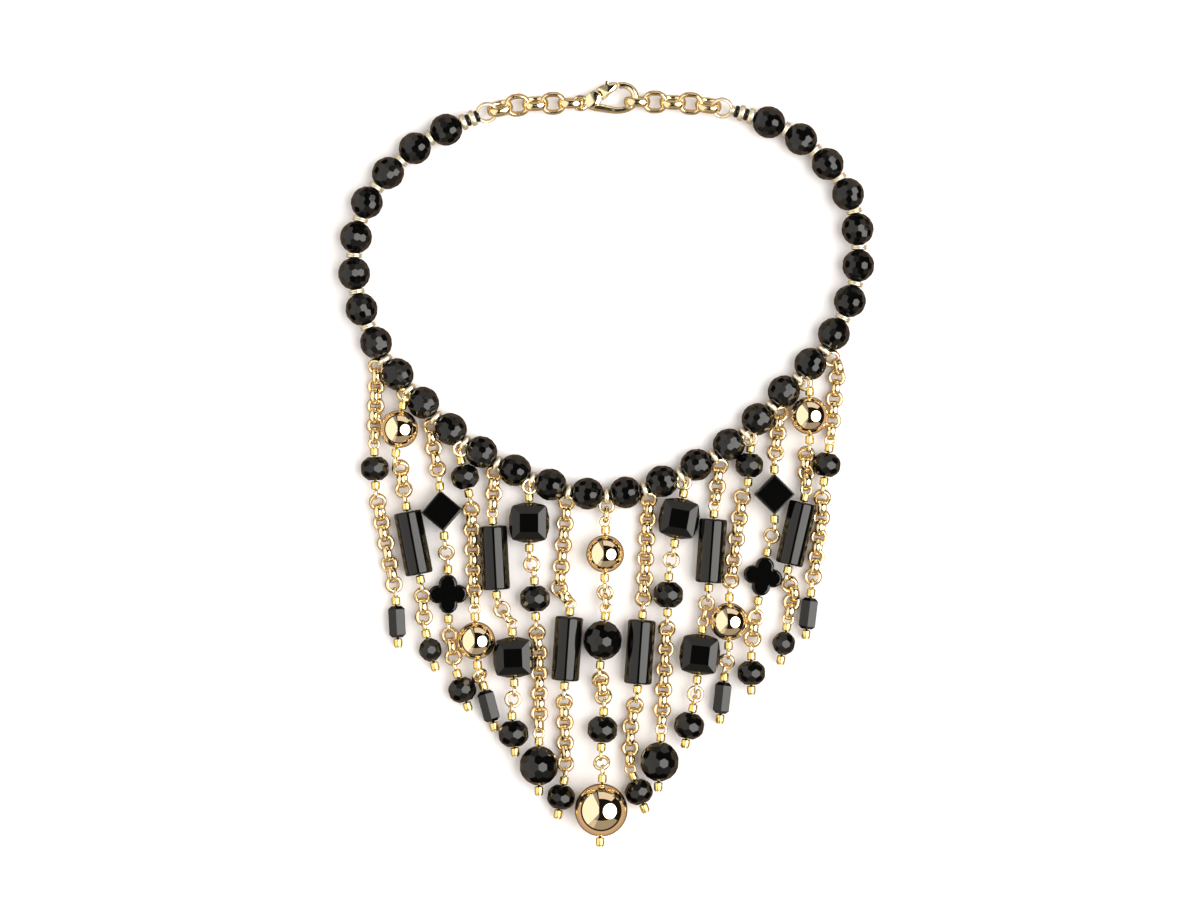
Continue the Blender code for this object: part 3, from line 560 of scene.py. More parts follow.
def set_on_points(tree, given, shape, smooth):
    """End a tree: the shape on every point, turned and sized by the points' attributes."""
    turn = add_node(tree, "GeometryNodeInputNamedAttribute", {"Name": "turn"}, data_type="FLOAT_VECTOR")
    size = add_node(tree, "GeometryNodeInputNamedAttribute", {"Name": "size"}, data_type="FLOAT")
    placed = add_node(tree, "GeometryNodeInstanceOnPoints", {
        "Points": given["Geometry"], "Instance": shape, "Rotation": turn.outputs[0],
        "Scale": size.outputs[0]})
    real = add_node(tree, "GeometryNodeRealizeInstances", {"Geometry": placed.outputs[0]})
    shaded = add_node(tree, "GeometryNodeSetShadeSmooth", {0: real.outputs[0], "Shade Smooth": smooth})
    painted = add_node(tree, "GeometryNodeSetMaterial", {
        "Geometry": shaded.outputs[0], "Material": given["Material"]})
    add_node(tree, "NodeGroupOutput", {0: painted.outputs[0]})
    return tree


def ring_of(tree, given, path, sides):
    """A ring along a path in XY: its section is as thick as the wire and as wide as the band."""
    circle = add_node(tree, "GeometryNodeCurvePrimitiveCircle", {"Resolution": sides, "Radius": 0.5})
    scale = add_node(tree, "ShaderNodeCombineXYZ", {"X": given["Wire"], "Y": given["Band"], "Z": 1.0})
    section = add_node(tree, "GeometryNodeTransform", {
        "Geometry": circle.outputs[0], "Scale": scale.outputs[0]})
    ring = add_node(tree, "GeometryNodeCurveToMesh", {"Curve": path, "Profile Curve": section.outputs[0]})
    return ring.outputs[0]


def round_ring_tree():
    """Round wire rings on points: chain links, hangers and the eyes of the pins."""
    tree, given = new_tree("round_rings", ("Diameter", "Wire", "Band"))
    middle = half_of(tree, given["Diameter"], given["Wire"], "SUBTRACT")
    path = add_node(tree, "GeometryNodeCurvePrimitiveCircle", {"Resolution": 20, "Radius": middle})
    return set_on_points(tree, given, ring_of(tree, given, path.outputs[0], 8), True)


def oval_ring_tree():
    """Oval wire rings on points, their length along X: the links of the closure chains."""
    tree, given = new_tree("oval_rings", ("Length", "Width", "Wire", "Band"))
    long_side, short_side = [
        add_node(tree, "ShaderNodeMath", {0: given[size], 1: given["Wire"]}, operation="SUBTRACT").outputs[0]
        for size in ("Length", "Width")]
    bend = add_node(tree, "ShaderNodeMath", {0: short_side, 1: 0.4999}, operation="MULTIPLY")
    box = add_node(tree, "GeometryNodeCurvePrimitiveQuadrilateral", {
        "Width": long_side, "Height": short_side})
    path = add_node(tree, "GeometryNodeFilletCurve", {
        "Curve": box.outputs[0], "Radius": bend.outputs[0], "Count": 10}, mode="POLY")
    return set_on_points(tree, given, ring_of(tree, given, path.outputs[0], 16), True)


def turned_ring_tree():
    """Short turned beads on points, bored along Z, with rounded edges: seeds, spacers, discs and cups."""
    tree, given = new_tree("turned_rings", ("Diameter", "Bore", "Length", "Rounding"))
    wall = half_of(tree, given["Diameter"], given["Bore"], "SUBTRACT")
    width = half_of(tree, given["Diameter"], given["Bore"], "ADD")
    middle = add_node(tree, "ShaderNodeMath", {0: width, 1: 0.5}, operation="MULTIPLY").outputs[0]
    path = add_node(tree, "GeometryNodeCurvePrimitiveCircle", {"Resolution": 16, "Radius": middle})
    box = add_node(tree, "GeometryNodeCurvePrimitiveQuadrilateral", {
        "Width": wall, "Height": given["Length"]})
    section = add_node(tree, "GeometryNodeFilletCurve", {
        "Curve": box.outputs[0], "Radius": given["Rounding"], "Count": 3, "Limit Radius": True}, mode="POLY")
    ring = add_node(tree, "GeometryNodeCurveToMesh", {
        "Curve": path.outputs[0], "Profile Curve": section.outputs[0]})
    return set_on_points(tree, given, ring.outputs[0], True)


def threaded_bead_tree():
    """Copies of one cut bead on points along the thread."""
    tree, given = new_tree("threaded_beads", ("Bead",), "NodeSocketObject")
    bead = add_node(tree, "GeometryNodeObjectInfo", {"Object": given["Bead"]})
    return set_on_points(tree, given, bead.outputs["Geometry"], False)


ROUND_RINGS = round_ring_tree()
OVAL_RINGS = oval_ring_tree()
TURNED_RINGS = turned_ring_tree()
THREADED_BEADS = threaded_bead_tree()


def mesh_from(work, name):
    """A mesh with its faces outwards from a bmesh, which is freed."""
    bmesh.ops.recalc_face_normals(work, faces=work.faces)
    mesh = bpy.data.meshes.new(name)
    work.to_mesh(mesh)
    work.free()
    return mesh


def new_object(name, data):
    """An object in the scene for a mesh, a curve, a light or a camera."""
    obj = bpy.data.objects.new(name, data)
    bpy.context.scene.collection.objects.link(obj)
    return obj


def evaluated(obj):
    """The finished mesh of an object, which is removed with its modifiers."""
    depsgraph = bpy.context.evaluated_depsgraph_get()
    depsgraph.update()
    mesh = bpy.data.meshes.new_from_object(obj.evaluated_get(depsgraph))
    obj.modifiers.clear()
    bpy.data.objects.remove(obj)
    return mesh


def grown(tree, frames, values, sizes=None):
    """A plain mesh of a tree's shape on every frame; sizes are factors, one for each frame."""
    carrier = bpy.data.meshes.new("carrier")
    carrier.from_pydata([place.translation for place in frames], [], [])
    carrier.attributes.new("turn", "FLOAT_VECTOR", "POINT")
    carrier.attributes.new("size", "FLOAT", "POINT")
    for i, place in enumerate(frames):
        carrier.attributes["turn"].data[i].vector = place.to_euler()
        carrier.attributes["size"].data[i].value = sizes[i] if sizes else 1.0
    obj = new_object("carrier", carrier)
    modifier = obj.modifiers.new("grow", "NODES")
    modifier.node_group = tree
    for item in tree.interface.items_tree:
        if item.name in values:
            modifier[item.identifier] = values[item.name]
    mesh = evaluated(obj)
    for name in ("turn", "size"):
        if name in mesh.attributes:
            mesh.attributes.remove(mesh.attributes[name])
    return mesh


def joined(meshes, material):
    """One mesh of one material that holds several separate ones."""
    work = bmesh.new()
    for mesh in meshes:
        work.from_mesh(mesh)
    for face in work.faces:
        face.material_index = 0
    result = bpy.data.meshes.new("joined")
    work.to_mesh(result)
    work.free()
    result.materials.append(material)
    return result


def piece(name, mesh, slot, nodes, body="necklace"):
    """Show a mesh as a piece of the necklace that stands for CAD nodes."""
    obj = new_object(name, mesh)
    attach(obj, body)
    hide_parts(*nodes)


def turned_mesh(profile, sides):
    """A closed (radius, height) profile turned round Z."""
    work = bmesh.new()
    rows = []
    for i in range(sides):
        angle = 2 * math.pi * i / sides
        rows.append([work.verts.new((radius * math.cos(angle), radius * math.sin(angle), height))
                     for radius, height in profile])
    count = len(profile)
    for i in range(sides):
        for j in range(count):
            k = (j + 1) % count
            work.faces.new((rows[i][j], rows[(i + 1) % sides][j], rows[(i + 1) % sides][k], rows[i][k]))
    bmesh.ops.remove_doubles(work, verts=work.verts, dist=1e-7)
    return mesh_from(work, "turned")


def cut_stone(planes):
    """A block cut down by planes, each given by its outward normal and its distance from the middle."""
    work = bmesh.new()
    bmesh.ops.create_cube(work, size=40 * MM)
    for normal, distance in planes:
        cut = bmesh.ops.bisect_plane(work, geom=work.verts[:] + work.edges[:] + work.faces[:], dist=1e-8,
                                     plane_co=normal * distance, plane_no=normal, clear_outer=True)
        edges = [item for item in cut["geom_cut"] if isinstance(item, bmesh.types.BMEdge)]
        if edges:
            bmesh.ops.edgeloop_fill(work, edges=edges)
    return mesh_from(work, "stone")


def belt(latitude, count, turn, radius, half):
    """A belt of facets round Z that touch an egg of this radius and half length."""
    lift = math.radians(latitude)
    distance = math.hypot(radius * math.cos(lift), half * math.sin(lift))
    planes = []
    for i in range(count):
        angle = math.radians(turn + 360 * i / count)
        normal = Vector((math.cos(lift) * math.cos(angle), math.cos(lift) * math.sin(angle), math.sin(lift)))
        planes.append((normal, distance))
    return planes


def ends(half):
    """The flat ends of a stone of this half length."""
    return [(UP, half), (-UP, half)]


def fitted(mesh, across, length):
    """Scale a stone to its size across and along its bore."""
    reach = max(vertex.co.to_2d().length for vertex in mesh.vertices)
    half = max(abs(vertex.co.z) for vertex in mesh.vertices)
    mesh.transform(Matrix.Diagonal((across / 2 / reach, across / 2 / reach, length / 2 / half, 1)))
    return mesh


def faceted_ball(diameter, count):
    """A ball cut in belts of facets, each belt turned by half a facet from the last."""
    radius = diameter / 2
    step = 180 / count
    rows = [(30, count, step), (56, count * 2 // 3, 0)]
    if count > 12:
        rows = [(22, count, step), (43, count * 3 // 4, 0), (64, count // 2, step)]
    planes = belt(0, count, 0, radius, radius) + ends(radius)
    for sign in (1, -1):
        for latitude, facets, turn in rows:
            planes += belt(sign * latitude, facets, turn, radius, radius)
    return fitted(cut_stone(planes), diameter, diameter)


def faceted_rondelle(diameter, length):
    """A flattened bead: rhombic facets round its middle, kites above and below, and small flat ends."""
    radius = diameter / 2
    crown = length / 2 * RONDELLE_CROWN
    planes = ends(length / 2 * RONDELLE_END) + belt(0, 10, 0, radius, crown)
    for sign in (1, -1):
        for latitude, facets, turn in ((30, 10, 18), (53, 10, 0), (72, 5, 18)):
            planes += belt(sign * latitude, facets, turn, radius, crown)
    return fitted(cut_stone(planes), diameter, length)


def cut_barrel():
    """A six-sided prism with its ends bevelled at 45 degrees."""
    rim = BARREL_ACROSS / 2 * math.cos(math.pi / 6)
    half = BARREL_LENGTH / 2
    planes = belt(0, 6, 0, rim, half) + ends(half)
    for sign in (1, -1):
        for normal, distance in belt(sign * 45, 6, 0, rim, half):
            planes.append((normal, (rim + half - BARREL_BEVEL) * math.sqrt(0.5)))
    return cut_stone(planes)


def cut_cushion():
    """A square stone with rounded corners: a table and eight facets above and below, and a girdle."""
    table = Vector((CUSHION_TABLE / 2, CUSHION_DEPTH / 2))
    girdle = Vector((CUSHION_SIDE / 2, CUSHION_GIRDLE))
    planes = []
    for sign in (1, -1):
        planes.append((Vector((0, sign, 0)), table.y))
        for turn in range(0, 360, 90):
            angle = math.radians(turn)
            outwards = Vector((math.cos(angle), 0, math.sin(angle)))
            for inner, outer in ((table, CUSHION_SHOULDER), (CUSHION_SHOULDER, girdle)):
                run = outer - inner
                normal = Vector((-run.y, run.x)).normalized()
                planes.append((outwards * normal.x + Vector((0, sign * normal.y, 0)), normal.dot(inner)))
    for turn in range(0, 360, 15):
        angle = math.radians(turn)
        fold = min(turn % 90, 90 - turn % 90)
        planes.append((Vector((math.cos(angle), 0, math.sin(angle))), girdle.x * CUSHION_CORNER[fold]))
    return cut_stone(planes)


def cut_cube():
    """A cube with its bore from corner to corner of its upper face, its edges just broken."""
    work = bmesh.new()
    bmesh.ops.create_cube(work, size=CUBE_SIDE, matrix=Matrix.Rotation(math.radians(45), 4, "Y"))
    bmesh.ops.bevel(work, geom=list(work.edges), offset=CUBE_BEVEL, segments=2, affect="EDGES", profile=0.5)
    return mesh_from(work, "cube")


def rounded_plate(outlines, thickness, rounding):
    """Flat outlines in XY, the first one outside and the others holes, with rounded edges all round."""
    curve = bpy.data.curves.new("plate", "CURVE")
    curve.dimensions = "2D"
    curve.fill_mode = "BOTH"
    curve.extrude = thickness / 2 - rounding
    curve.bevel_depth = rounding
    curve.bevel_resolution = 4
    curve.offset = -rounding
    for outline in outlines:
        spline = curve.splines.new("POLY")
        spline.points.add(len(outline) - 1)
        spline.use_cyclic_u = True
        for point, (x, y) in zip(spline.points, outline):
            point.co = (x, y, 0, 1)
    work = bmesh.new()
    work.from_mesh(evaluated(new_object("plate", curve)))
    bmesh.ops.remove_doubles(work, verts=work.verts, dist=2e-6)
    return mesh_from(work, "plate")


def cut_clover():
    """A flat quatrefoil of four round lobes with softened edges."""
    reach = CLOVER_ACROSS / 2 - CLOVER_LOBE
    outline = []
    for turn in range(0, 360, 90):
        middle = (reach * math.cos(math.radians(turn)), reach * math.sin(math.radians(turn)))
        outline += circle_outline(middle, CLOVER_LOBE, 19, turn - CLOVER_ARC, turn + CLOVER_ARC)
    mesh = rounded_plate([outline], CLOVER_DEPTH, CLOVER_ROUNDING)
    mesh.transform(Matrix.Rotation(math.radians(90), 4, "X"))
    return mesh


def spun_ball(diameter):
    """A hollow ball with a small turned-in lip at each end of its bore."""
    profile = []
    for radius, steps, way in ((diameter / 2, 28, 1), (diameter / 2 - BALL_WALL, 12, -1)):
        start = math.asin(BALL_LIP / radius)
        for i in range(steps + 1):
            angle = start + (math.pi - 2 * start) * i / steps
            profile.append((radius * math.sin(angle), way * radius * math.cos(angle)))
    return turned_mesh(profile, 48)


def turned_tube():
    """A round tube with rounded rims and flat ends, bored for its pin."""
    half = TUBE_LENGTH / 2
    rim = TUBE_ACROSS / 2 - TUBE_FILLET
    profile = [(TUBE_BORE, half), (rim - 0.3 * MM, half)]
    for i in range(7):
        angle = math.radians(90 - 15 * i)
        profile.append((rim + TUBE_FILLET * math.cos(angle), half - TUBE_FILLET * (1 - math.sin(angle))))
    profile += [(radius, -height) for radius, height in reversed(profile)]
    return turned_mesh(profile, 40)


def smooth(mesh):
    mesh.shade_smooth()
    return mesh


def painted(mesh, material):
    mesh.materials.clear()
    mesh.materials.append(material)
    return mesh


def placed(mesh, place):
    """A copy of a mesh, put in a frame."""
    copy = mesh.copy()
    copy.transform(place)
    return copy


BEAD_SHAPES = {
    "gold_ball": smooth(spun_ball(GOLD_BALL)),
    "big_ball": smooth(spun_ball(BIG_BALL)),
    "black_ball": faceted_ball(BLACK_BALL, 14),
    "small_ball": faceted_ball(SMALL_BALL, 9),
    "rondelle_large": faceted_rondelle(RONDELLE_LARGE, RONDELLE_LARGE_LENGTH),
    "rondelle_small": faceted_rondelle(RONDELLE_SMALL, RONDELLE_SMALL_LENGTH),
    "tube": smooth(turned_tube()),
    "cushion": cut_cushion(),
    "cube": cut_cube(),
    "clover": cut_clover(),
    "barrel": cut_barrel(),
}
for bead_kind, bead_shape in BEAD_SHAPES.items():
    painted(bead_shape, BALL_GOLD if bead_kind in GOLD_KINDS else ONYX)


def along_string(side, distance, roll=0.0):
    """The frame of a piece on the thread: Z along the thread, turned round it by a roll in degrees."""
    place, direction = route_place(side * distance)
    return bead_frame(place + UP * NECK_HEIGHT, direction) @ Matrix.Rotation(math.radians(roll), 4, "Z")


def round_bar(name, places, radii, thickness, resolution):
    """A round bar through places, with closed ends; the radii are shares of its thickness."""
    curve = bpy.data.curves.new(name, "CURVE")
    curve.dimensions = "3D"
    curve.bevel_depth = thickness
    curve.bevel_resolution = resolution
    curve.use_fill_caps = True
    spline = curve.splines.new("POLY")
    spline.points.add(len(places) - 1)
    for point, place, radius in zip(spline.points, places, radii):
        point.co = (*place, 1)
        point.radius = radius
    return evaluated(new_object(name, curve))


def thread_mesh(side):
    """The thread through one half of the neck string."""
    length = string_end(side) - END_BEAD_LENGTH / 2 - CLEARANCE
    places = [route_place(side * (CLEARANCE + length * i / THREAD_STEPS))[0] + UP * NECK_HEIGHT
              for i in range(THREAD_STEPS + 1)]
    return smooth(painted(round_bar("thread", places, [1.0] * len(places), THREAD_RADIUS, 2), THREAD))


def neck_side(side, name):
    """One half of the neck string, with its end discs and ring."""
    nodes = [f"neck_string_{name}"]
    neck_bead = bpy.data.objects.new("neck_bead", faceted_ball(NECK_BEAD, 16))
    beads = []
    spacers = []
    for index in range(BEADS_PER_SIDE):
        distance = neck_bead_distance(index)
        beads.append(along_string(side, distance, random.uniform(-BEAD_ROLL, BEAD_ROLL)))
        if HANGERS_PER_SIDE <= index < BEADS_PER_SIDE - 1:
            gap_middle = distance + (NECK_BEAD + SPACER_GAP) / 2
            spacers += [along_string(side, gap_middle + sign * SPACER_PITCH / 2) for sign in (-1, 1)]
    mesh = grown(THREADED_BEADS, beads, {"Bead": neck_bead, "Material": ONYX})
    piece(f"neck_beads_{name}", mesh, "black_stone", nodes)
    bpy.data.objects.remove(neck_bead)
    mesh = grown(TURNED_RINGS, spacers, {
        "Diameter": SPACER_DIAMETER, "Bore": SPACER_BORE, "Length": SPACER_THICKNESS,
        "Rounding": SPACER_ROUNDING, "Material": PALE_GOLD})
    piece(f"neck_spacers_{name}", mesh, "gold_plate", nodes)
    piece(f"neck_thread_{name}", thread_mesh(side), "black_stone", nodes)
    reach = string_end(side) - sum(length for length, diameter in end_stack(side))
    discs = []
    smalls = []
    for length, diameter in end_stack(side):
        small = diameter == END_BEAD_DIAMETER
        mesh = grown(TURNED_RINGS, [along_string(side, reach + length / 2)], {
            "Diameter": diameter, "Bore": END_BORE, "Length": length - END_SEAM, "Rounding": END_ROUNDING,
            "Material": ONYX if small else PALE_GOLD})
        (smalls if small else discs).append(mesh)
        reach += length
    discs.append(grown(ROUND_RINGS, [end_ring_frame(side)], {
        "Diameter": END_RING_DIAMETER, "Wire": RING_WIRE, "Band": END_RING_BAND, "Material": PALE_GOLD}))
    piece(f"end_discs_{name}", joined(discs, PALE_GOLD), "gold_plate", nodes)
    piece(f"end_beads_{name}", joined(smalls, ONYX), "black_stone", nodes)


def closure_side(side, name):
    """One closure chain of interlocking oval links."""
    places = closure_places(side)
    frames = [tilted_frame(place, direction, side * tilt)
              for place, direction, tilt in zip(places[1:], closure_directions(places), CLOSURE_TILTS)]
    mesh = grown(OVAL_RINGS, frames, {
        "Length": CLOSURE_LINK_LENGTH, "Width": CLOSURE_LINK_WIDTH, "Wire": CLOSURE_WIRE,
        "Band": CLOSURE_BAND, "Material": WIRE_GOLD})
    piece(f"closure_links_{name}", mesh, "gold_plate", [f"closure_chain_{name}"])


def cast_body(outline, crest, base, height, full):
    """A cast body on an outline in XY, domed on one side or on both, and highest at its crest."""
    (crest_x, crest_y), = clasp_outline([crest])
    middle = Vector((crest_x, crest_y))
    first = -90 if full else 0
    steps = 12 if full else 7
    work = bmesh.new()
    rows = []
    for i in range(steps + 1):
        angle = math.radians(first + (90 - first) * i / steps)
        shrink = max(math.cos(angle), 0.02) ** DOME_POINT
        level = base + height * math.copysign(abs(math.sin(angle)) ** DOME_SHOULDER, angle)
        rows.append([work.verts.new((*middle.lerp(Vector(point), shrink), level)) for point in outline])
    for low, high in zip(rows, rows[1:]):
        for j in range(len(outline)):
            work.faces.new((low[j - 1], low[j], high[j], high[j - 1]))
    work.faces.new(rows[0])
    work.faces.new(rows[-1])
    return mesh_from(work, "cast_body")


def arm_mesh():
    """The hook's arm: a bar of changing thickness, from the body round the nose to the hook's tip."""
    samples = smooth_run([Vector(point) for point in ARM_RUN], 6)
    places = [(x, y, 0) for x, y in clasp_outline([sample.to_2d() for sample in samples])]
    return round_bar("arm", places, [sample.z for sample in samples], CLASP_UNIT, 5)


def pivot_arc(radius, start, end, count=9):
    """Points round the lever's pivot, with the radius in eighteenths of the clasp's length."""
    pivot, = clasp_outline([LEVER_PIVOT])
    return circle_outline(pivot, radius * CLASP_UNIT, count, start, end)


def hook_meshes():
    """The hook: its tail ring, its arm, and the two domed cheeks that hold the lever between them."""
    tail = grown(ROUND_RINGS, [Matrix.Identity(4)], {
        "Diameter": 2 * TAIL_RADIUS, "Wire": TAIL_RADIUS - TAIL_HOLE, "Band": TAIL_BAND,
        "Material": CLASP_GOLD})
    cheek = rounded_outline(pivot_arc(CHEEK_REACH, -60, 80) + clasp_outline(CHEEK_BACK), 3)
    base = LEVER_THICKNESS / 2 + CLEARANCE
    return [tail, arm_mesh()] + [
        cast_body(cheek, CHEEK_CREST, sign * base, sign * CHEEK_RISE, False) for sign in (1, -1)]


def lever_meshes():
    """The lever: a thin root on the rivet, and a domed blade with a thumb spur, shut against the tip."""
    pivot, = clasp_outline([LEVER_PIVOT])
    root = circle_outline(pivot, LEVER_ROOT_RADIUS, 9, 110, 330) + clasp_outline(ROOT_CORNERS)
    hole = circle_outline(pivot, LEVER_PIN_RADIUS + CLEARANCE, 16)
    blade = rounded_outline(pivot_arc(BLADE_START, 72, -12, 7) + clasp_outline(BLADE_TIP), 3)
    return [rounded_plate([root, hole], LEVER_THICKNESS, LEVER_ROUNDING),
            cast_body(blade, BLADE_CREST, 0, BLADE_THICKNESS / 2, True),
            rounded_plate([clasp_outline(THUMB_SPUR)], LEVER_THICKNESS, LEVER_ROUNDING)]


def rivet_mesh():
    """The lever's rivet, with a low round head at each end."""
    half = CLASP_THICKNESS / 2
    head = [(0, half), (LEVER_PIN_RADIUS * 0.7, half - RIVET_CROWN), (LEVER_PIN_RADIUS, half - RIVET_EDGE)]
    (pivot_x, pivot_y), = clasp_outline([LEVER_PIVOT])
    mesh = turned_mesh(head + [(radius, -height) for radius, height in reversed(head)], 16)
    mesh.transform(Matrix.Translation((pivot_x, pivot_y, 0)))
    return mesh


def clasp():
    """The claw clasp: its hook, cheeks and rivet, and its lever."""
    place = clasp_frame()
    hook = joined(hook_meshes() + [rivet_mesh()], CLASP_GOLD)
    lever = joined(lever_meshes(), CLASP_GOLD)
    for name, mesh, node, body in (("claw_hook", hook, "clasp_claw", "necklace"),
                                   ("claw_lever", lever, "clasp_lever", "clasp_lever")):
        mesh.transform(place)
        mesh.shade_smooth()
        piece(name, mesh, "gold_plate", [node], body)


def pin_mesh(start, end, headed):
    """A straight pin's stem from its upper eye down, with a flat round head if it has no second eye."""
    length = (end - start).length
    profile = [(0, 0), (PIN_RADIUS, PIN_CHAMFER)]
    if headed:
        profile += [(PIN_RADIUS, length - PIN_HEAD_LENGTH), (PIN_HEAD_RADIUS, length - PIN_HEAD_LENGTH),
                    (PIN_HEAD_RADIUS, length - 0.08 * MM), (PIN_HEAD_RADIUS * 0.8, length), (0, length)]
    else:
        profile += [(PIN_RADIUS, length - PIN_CHAMFER), (0, length)]
    mesh = turned_mesh(profile, 10)
    mesh.transform(bead_frame(start, (end - start).normalized()))
    return painted(smooth(mesh), WIRE_GOLD)


def drop(number):
    """One drop of the fringe: its hanger, links and pins, its seed beads and its stones and balls."""
    label = f"{number + 1:02d}"
    node = f"drop_chain_{label}"
    parts = drop_layout(number)
    eye_size = LOOP_DIAMETER / LINK_DIAMETER
    links = []
    rings = []
    sizes = []
    seeds = []
    pins = []
    for order, part in enumerate(parts):
        if part[0] == "run":
            route, marks = part[1:]
            places = [route[0]] + [chain_place(route, mark) for mark in marks] + [route[-1]]
            for i in range(1, len(places) - 1):
                tilt = (90 if i % 2 == 0 else 0) + random.uniform(-LINK_ROLL, LINK_ROLL)
                along = (places[i + 1] - places[i - 1]).normalized()
                edge = (LINK_DIAMETER - LINK_WIRE) / 2 * abs(math.sin(math.radians(tilt)))
                places[i].z = max(places[i].z, edge + LINK_WIRE / 2)
                link = tilted_frame(places[i], along, tilt)
                if len(marks) >= LINKS_OF_CHAIN:
                    links.append(link)
                else:
                    rings.append(link)
                    sizes.append(1.0)
            continue
        kind, middle, direction = part
        half = BEAD_SIZES[kind][0] / 2
        last = order == len(parts) - 1
        seat = half + CLEARANCE + SEED_LENGTH / 2
        eye = half + SEED_LENGTH + LOOP_REACH
        rings.append(tilted_frame(middle - direction * eye, direction, tilt + 90))
        sizes.append(eye_size)
        if not last:
            rings.append(tilted_frame(middle + direction * eye, direction, 90))
            sizes.append(eye_size)
        stem = eye - LOOP_DIAMETER / 2 + LINK_WIRE / 3
        tip = half + CLEARANCE + SEED_LENGTH + PIN_HEAD_LENGTH if last else stem
        pins.append(pin_mesh(middle - direction * stem, middle + direction * tip, last))
        seeds += [bead_frame(middle + direction * seat * sign, direction) for sign in (-1, 1)]
        bead = f"{kind}_{label}_{order // 2 + 1}"
        mesh = placed(BEAD_SHAPES[kind], bead_frame(middle, direction))
        slot = "gold_plate" if kind in GOLD_KINDS else "black_stone"
        piece(f"cut_{bead}", mesh, slot, [node if kind == "barrel" else bead])
    mesh = grown(ROUND_RINGS, [hanger_frame(number)[0]], {
        "Diameter": HANGER_DIAMETER, "Wire": HANGER_WIRE, "Band": HANGER_BAND, "Material": PALE_GOLD})
    piece(f"drop_hanger_{label}", mesh, "gold_plate", [node])
    wires = [grown(ROUND_RINGS, rings, {
        "Diameter": LINK_DIAMETER, "Wire": JUMP_WIRE, "Band": JUMP_BAND, "Material": WIRE_GOLD}, sizes)]
    if links:
        wires.append(grown(ROUND_RINGS, links, {
            "Diameter": LINK_OUTSIDE, "Wire": LINK_SECTION, "Band": LINK_BAND, "Material": WIRE_GOLD}))
    piece(f"drop_links_{label}", joined(wires + pins, WIRE_GOLD), "gold_plate", [node])
    mesh = grown(TURNED_RINGS, seeds, {
        "Diameter": SEED_DIAMETER, "Bore": SEED_BORE, "Length": SEED_LENGTH, "Rounding": SEED_ROUNDING,
        "Material": SEED_GOLD})
    piece(f"drop_seeds_{label}", mesh, "gold_plate", [node])


for string_side, side_name in ((-1, "left"), (1, "right")):
    neck_side(string_side, side_name)
    closure_side(string_side, side_name)
clasp()
for drop_number in range(len(DROPS)):
    drop(drop_number)

# Floor: a wide sheet of white paper, kept out of reflections
PAPER = polished_material("pale_paper", "#eeebec", 0.0, 0.9, 0.05, 4.0, 0.002)
FLOOR_REACH = 4.0
floor_mesh = bpy.data.meshes.new("floor")
corners = [(-FLOOR_REACH, -FLOOR_REACH, 0), (FLOOR_REACH, -FLOOR_REACH, 0),
           (FLOOR_REACH, FLOOR_REACH, 0), (-FLOOR_REACH, FLOOR_REACH, 0)]
floor_mesh.from_pydata(corners, [], [(0, 1, 2, 3)])
floor_mesh.materials.append(PAPER)
floor = new_object("floor", floor_mesh)
floor.location.z = -0.02 * MM
floor.visible_glossy = False


def area_light(name, place, target, size, radiance, colour):
    """A soft light, round where it has one size, seen in reflections and not by the camera."""
    disk = len(size) == 1
    data = bpy.data.lights.new(name, "AREA")
    data.shape = "DISK" if disk else "RECTANGLE"
    data.size = size[0]
    data.size_y = size[-1]
    data.energy = radiance * size[0] * size[-1] * (math.pi / 4 if disk else 1) * math.pi
    data.color = linear(colour)[:3]
    obj = new_object(name, data)
    obj.location = place
    obj.rotation_euler = (Vector(target) - Vector(place)).to_track_quat("-Z", "Y").to_euler()
    obj.visible_camera = False
    return obj


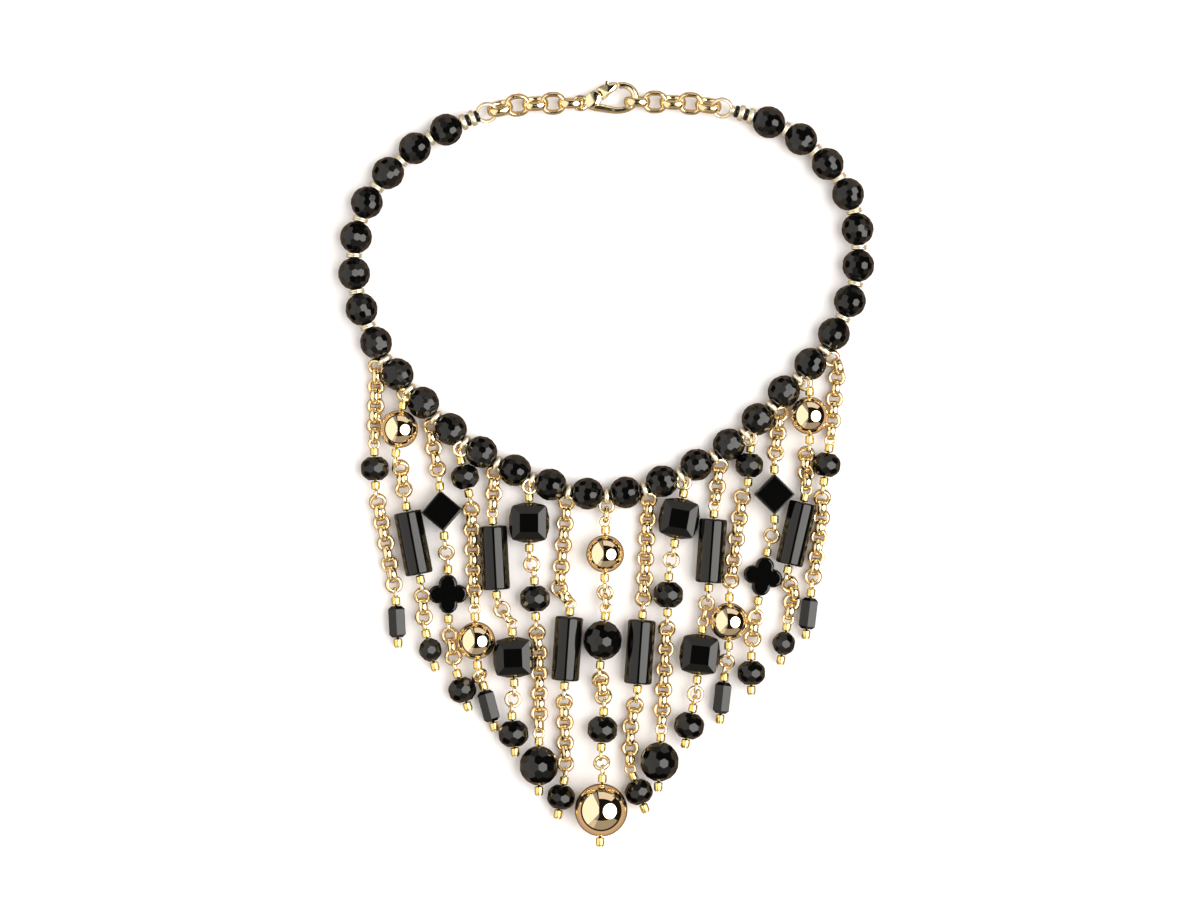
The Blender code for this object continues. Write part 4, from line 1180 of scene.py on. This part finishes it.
area_light("left_softbox", (-0.53, 0.1, 1.6), (0, 0.1, 1.6), (1.6, 3.2), 0.95, "#fffaf2")
area_light("left_wall", (-0.57, 0.3, 1.6), (0, 0.3, 1.6), (3.6, 3.2), 0.36, "#fffaf2")
area_light("round_light", (1.93, -0.15, 2.3), (0, 0, 0), (3.7,), 5.6, "#fffdf8")
area_light("top_softbox", (0.8, 1.6, 0.6), (0.8, 0, 0.6), (2.2, 1.2), 0.9, "#fff6ea")
area_light("front_wall", (0.5, -1.5, 0.75), (0.5, 0, 0.75), (3.4, 1.5), 0.4, "#fff3df")
fill = area_light("overhead_fill", (0, 0, 2.4), (0, 0, 0), (2.4,), 1.3, "#ffffff")
fill.visible_glossy = False

# The room, by height: dark from near the horizon up; below, since reflections pass through the paper, a
# painted reflection of the lit paper in pale brown, darker towards the nadir as painted shade of the pieces
# on the paper
world = bpy.data.worlds.new("dark_studio")
world.use_nodes = True
room = world.node_tree
view_line = add_node(room, "ShaderNodeTexCoord").outputs["Generated"]
height = add_node(room, "ShaderNodeMapRange", {
    "Value": add_node(room, "ShaderNodeSeparateXYZ", {0: view_line}).outputs["Z"],
    "From Min": -1.0, "From Max": 1.0})
tint = add_node(room, "ShaderNodeValToRGB", {0: height.outputs["Result"]})
# Stops from the nadir up: painted shade under the pieces, the painted reflection of the lit paper, then the
# dark room
for stop, code in ((0.04, "#5a4a3c"), (0.12, "#c4a78c"), (0.37, "#e0c4a8"), (0.42, "#1c1a16")):
    band = tint.color_ramp.elements.new(stop)
    band.color = linear(code)
tint.color_ramp.elements.remove(tint.color_ramp.elements[0])
tint.color_ramp.elements.remove(tint.color_ramp.elements[-1])
room.links.new(tint.outputs[0], room.nodes["Background"].inputs["Color"])
bpy.context.scene.world = world
bpy.context.scene.view_settings.view_transform = "Standard"

# Camera: straight down, over the middle of the photograph
PICTURE_MIDDLE = Vector((-1.98, 4.25, 0)) * MM
PICTURE_WIDTH = 378 * MM
camera_data = bpy.data.cameras.new("camera")
camera_data.lens = 120
camera_data.sensor_width = 36
camera = new_object("camera", camera_data)
camera.location = PICTURE_MIDDLE + UP * PICTURE_WIDTH * camera_data.lens / camera_data.sensor_width
bpy.context.scene.camera = camera


bpy.context.view_layer.update()
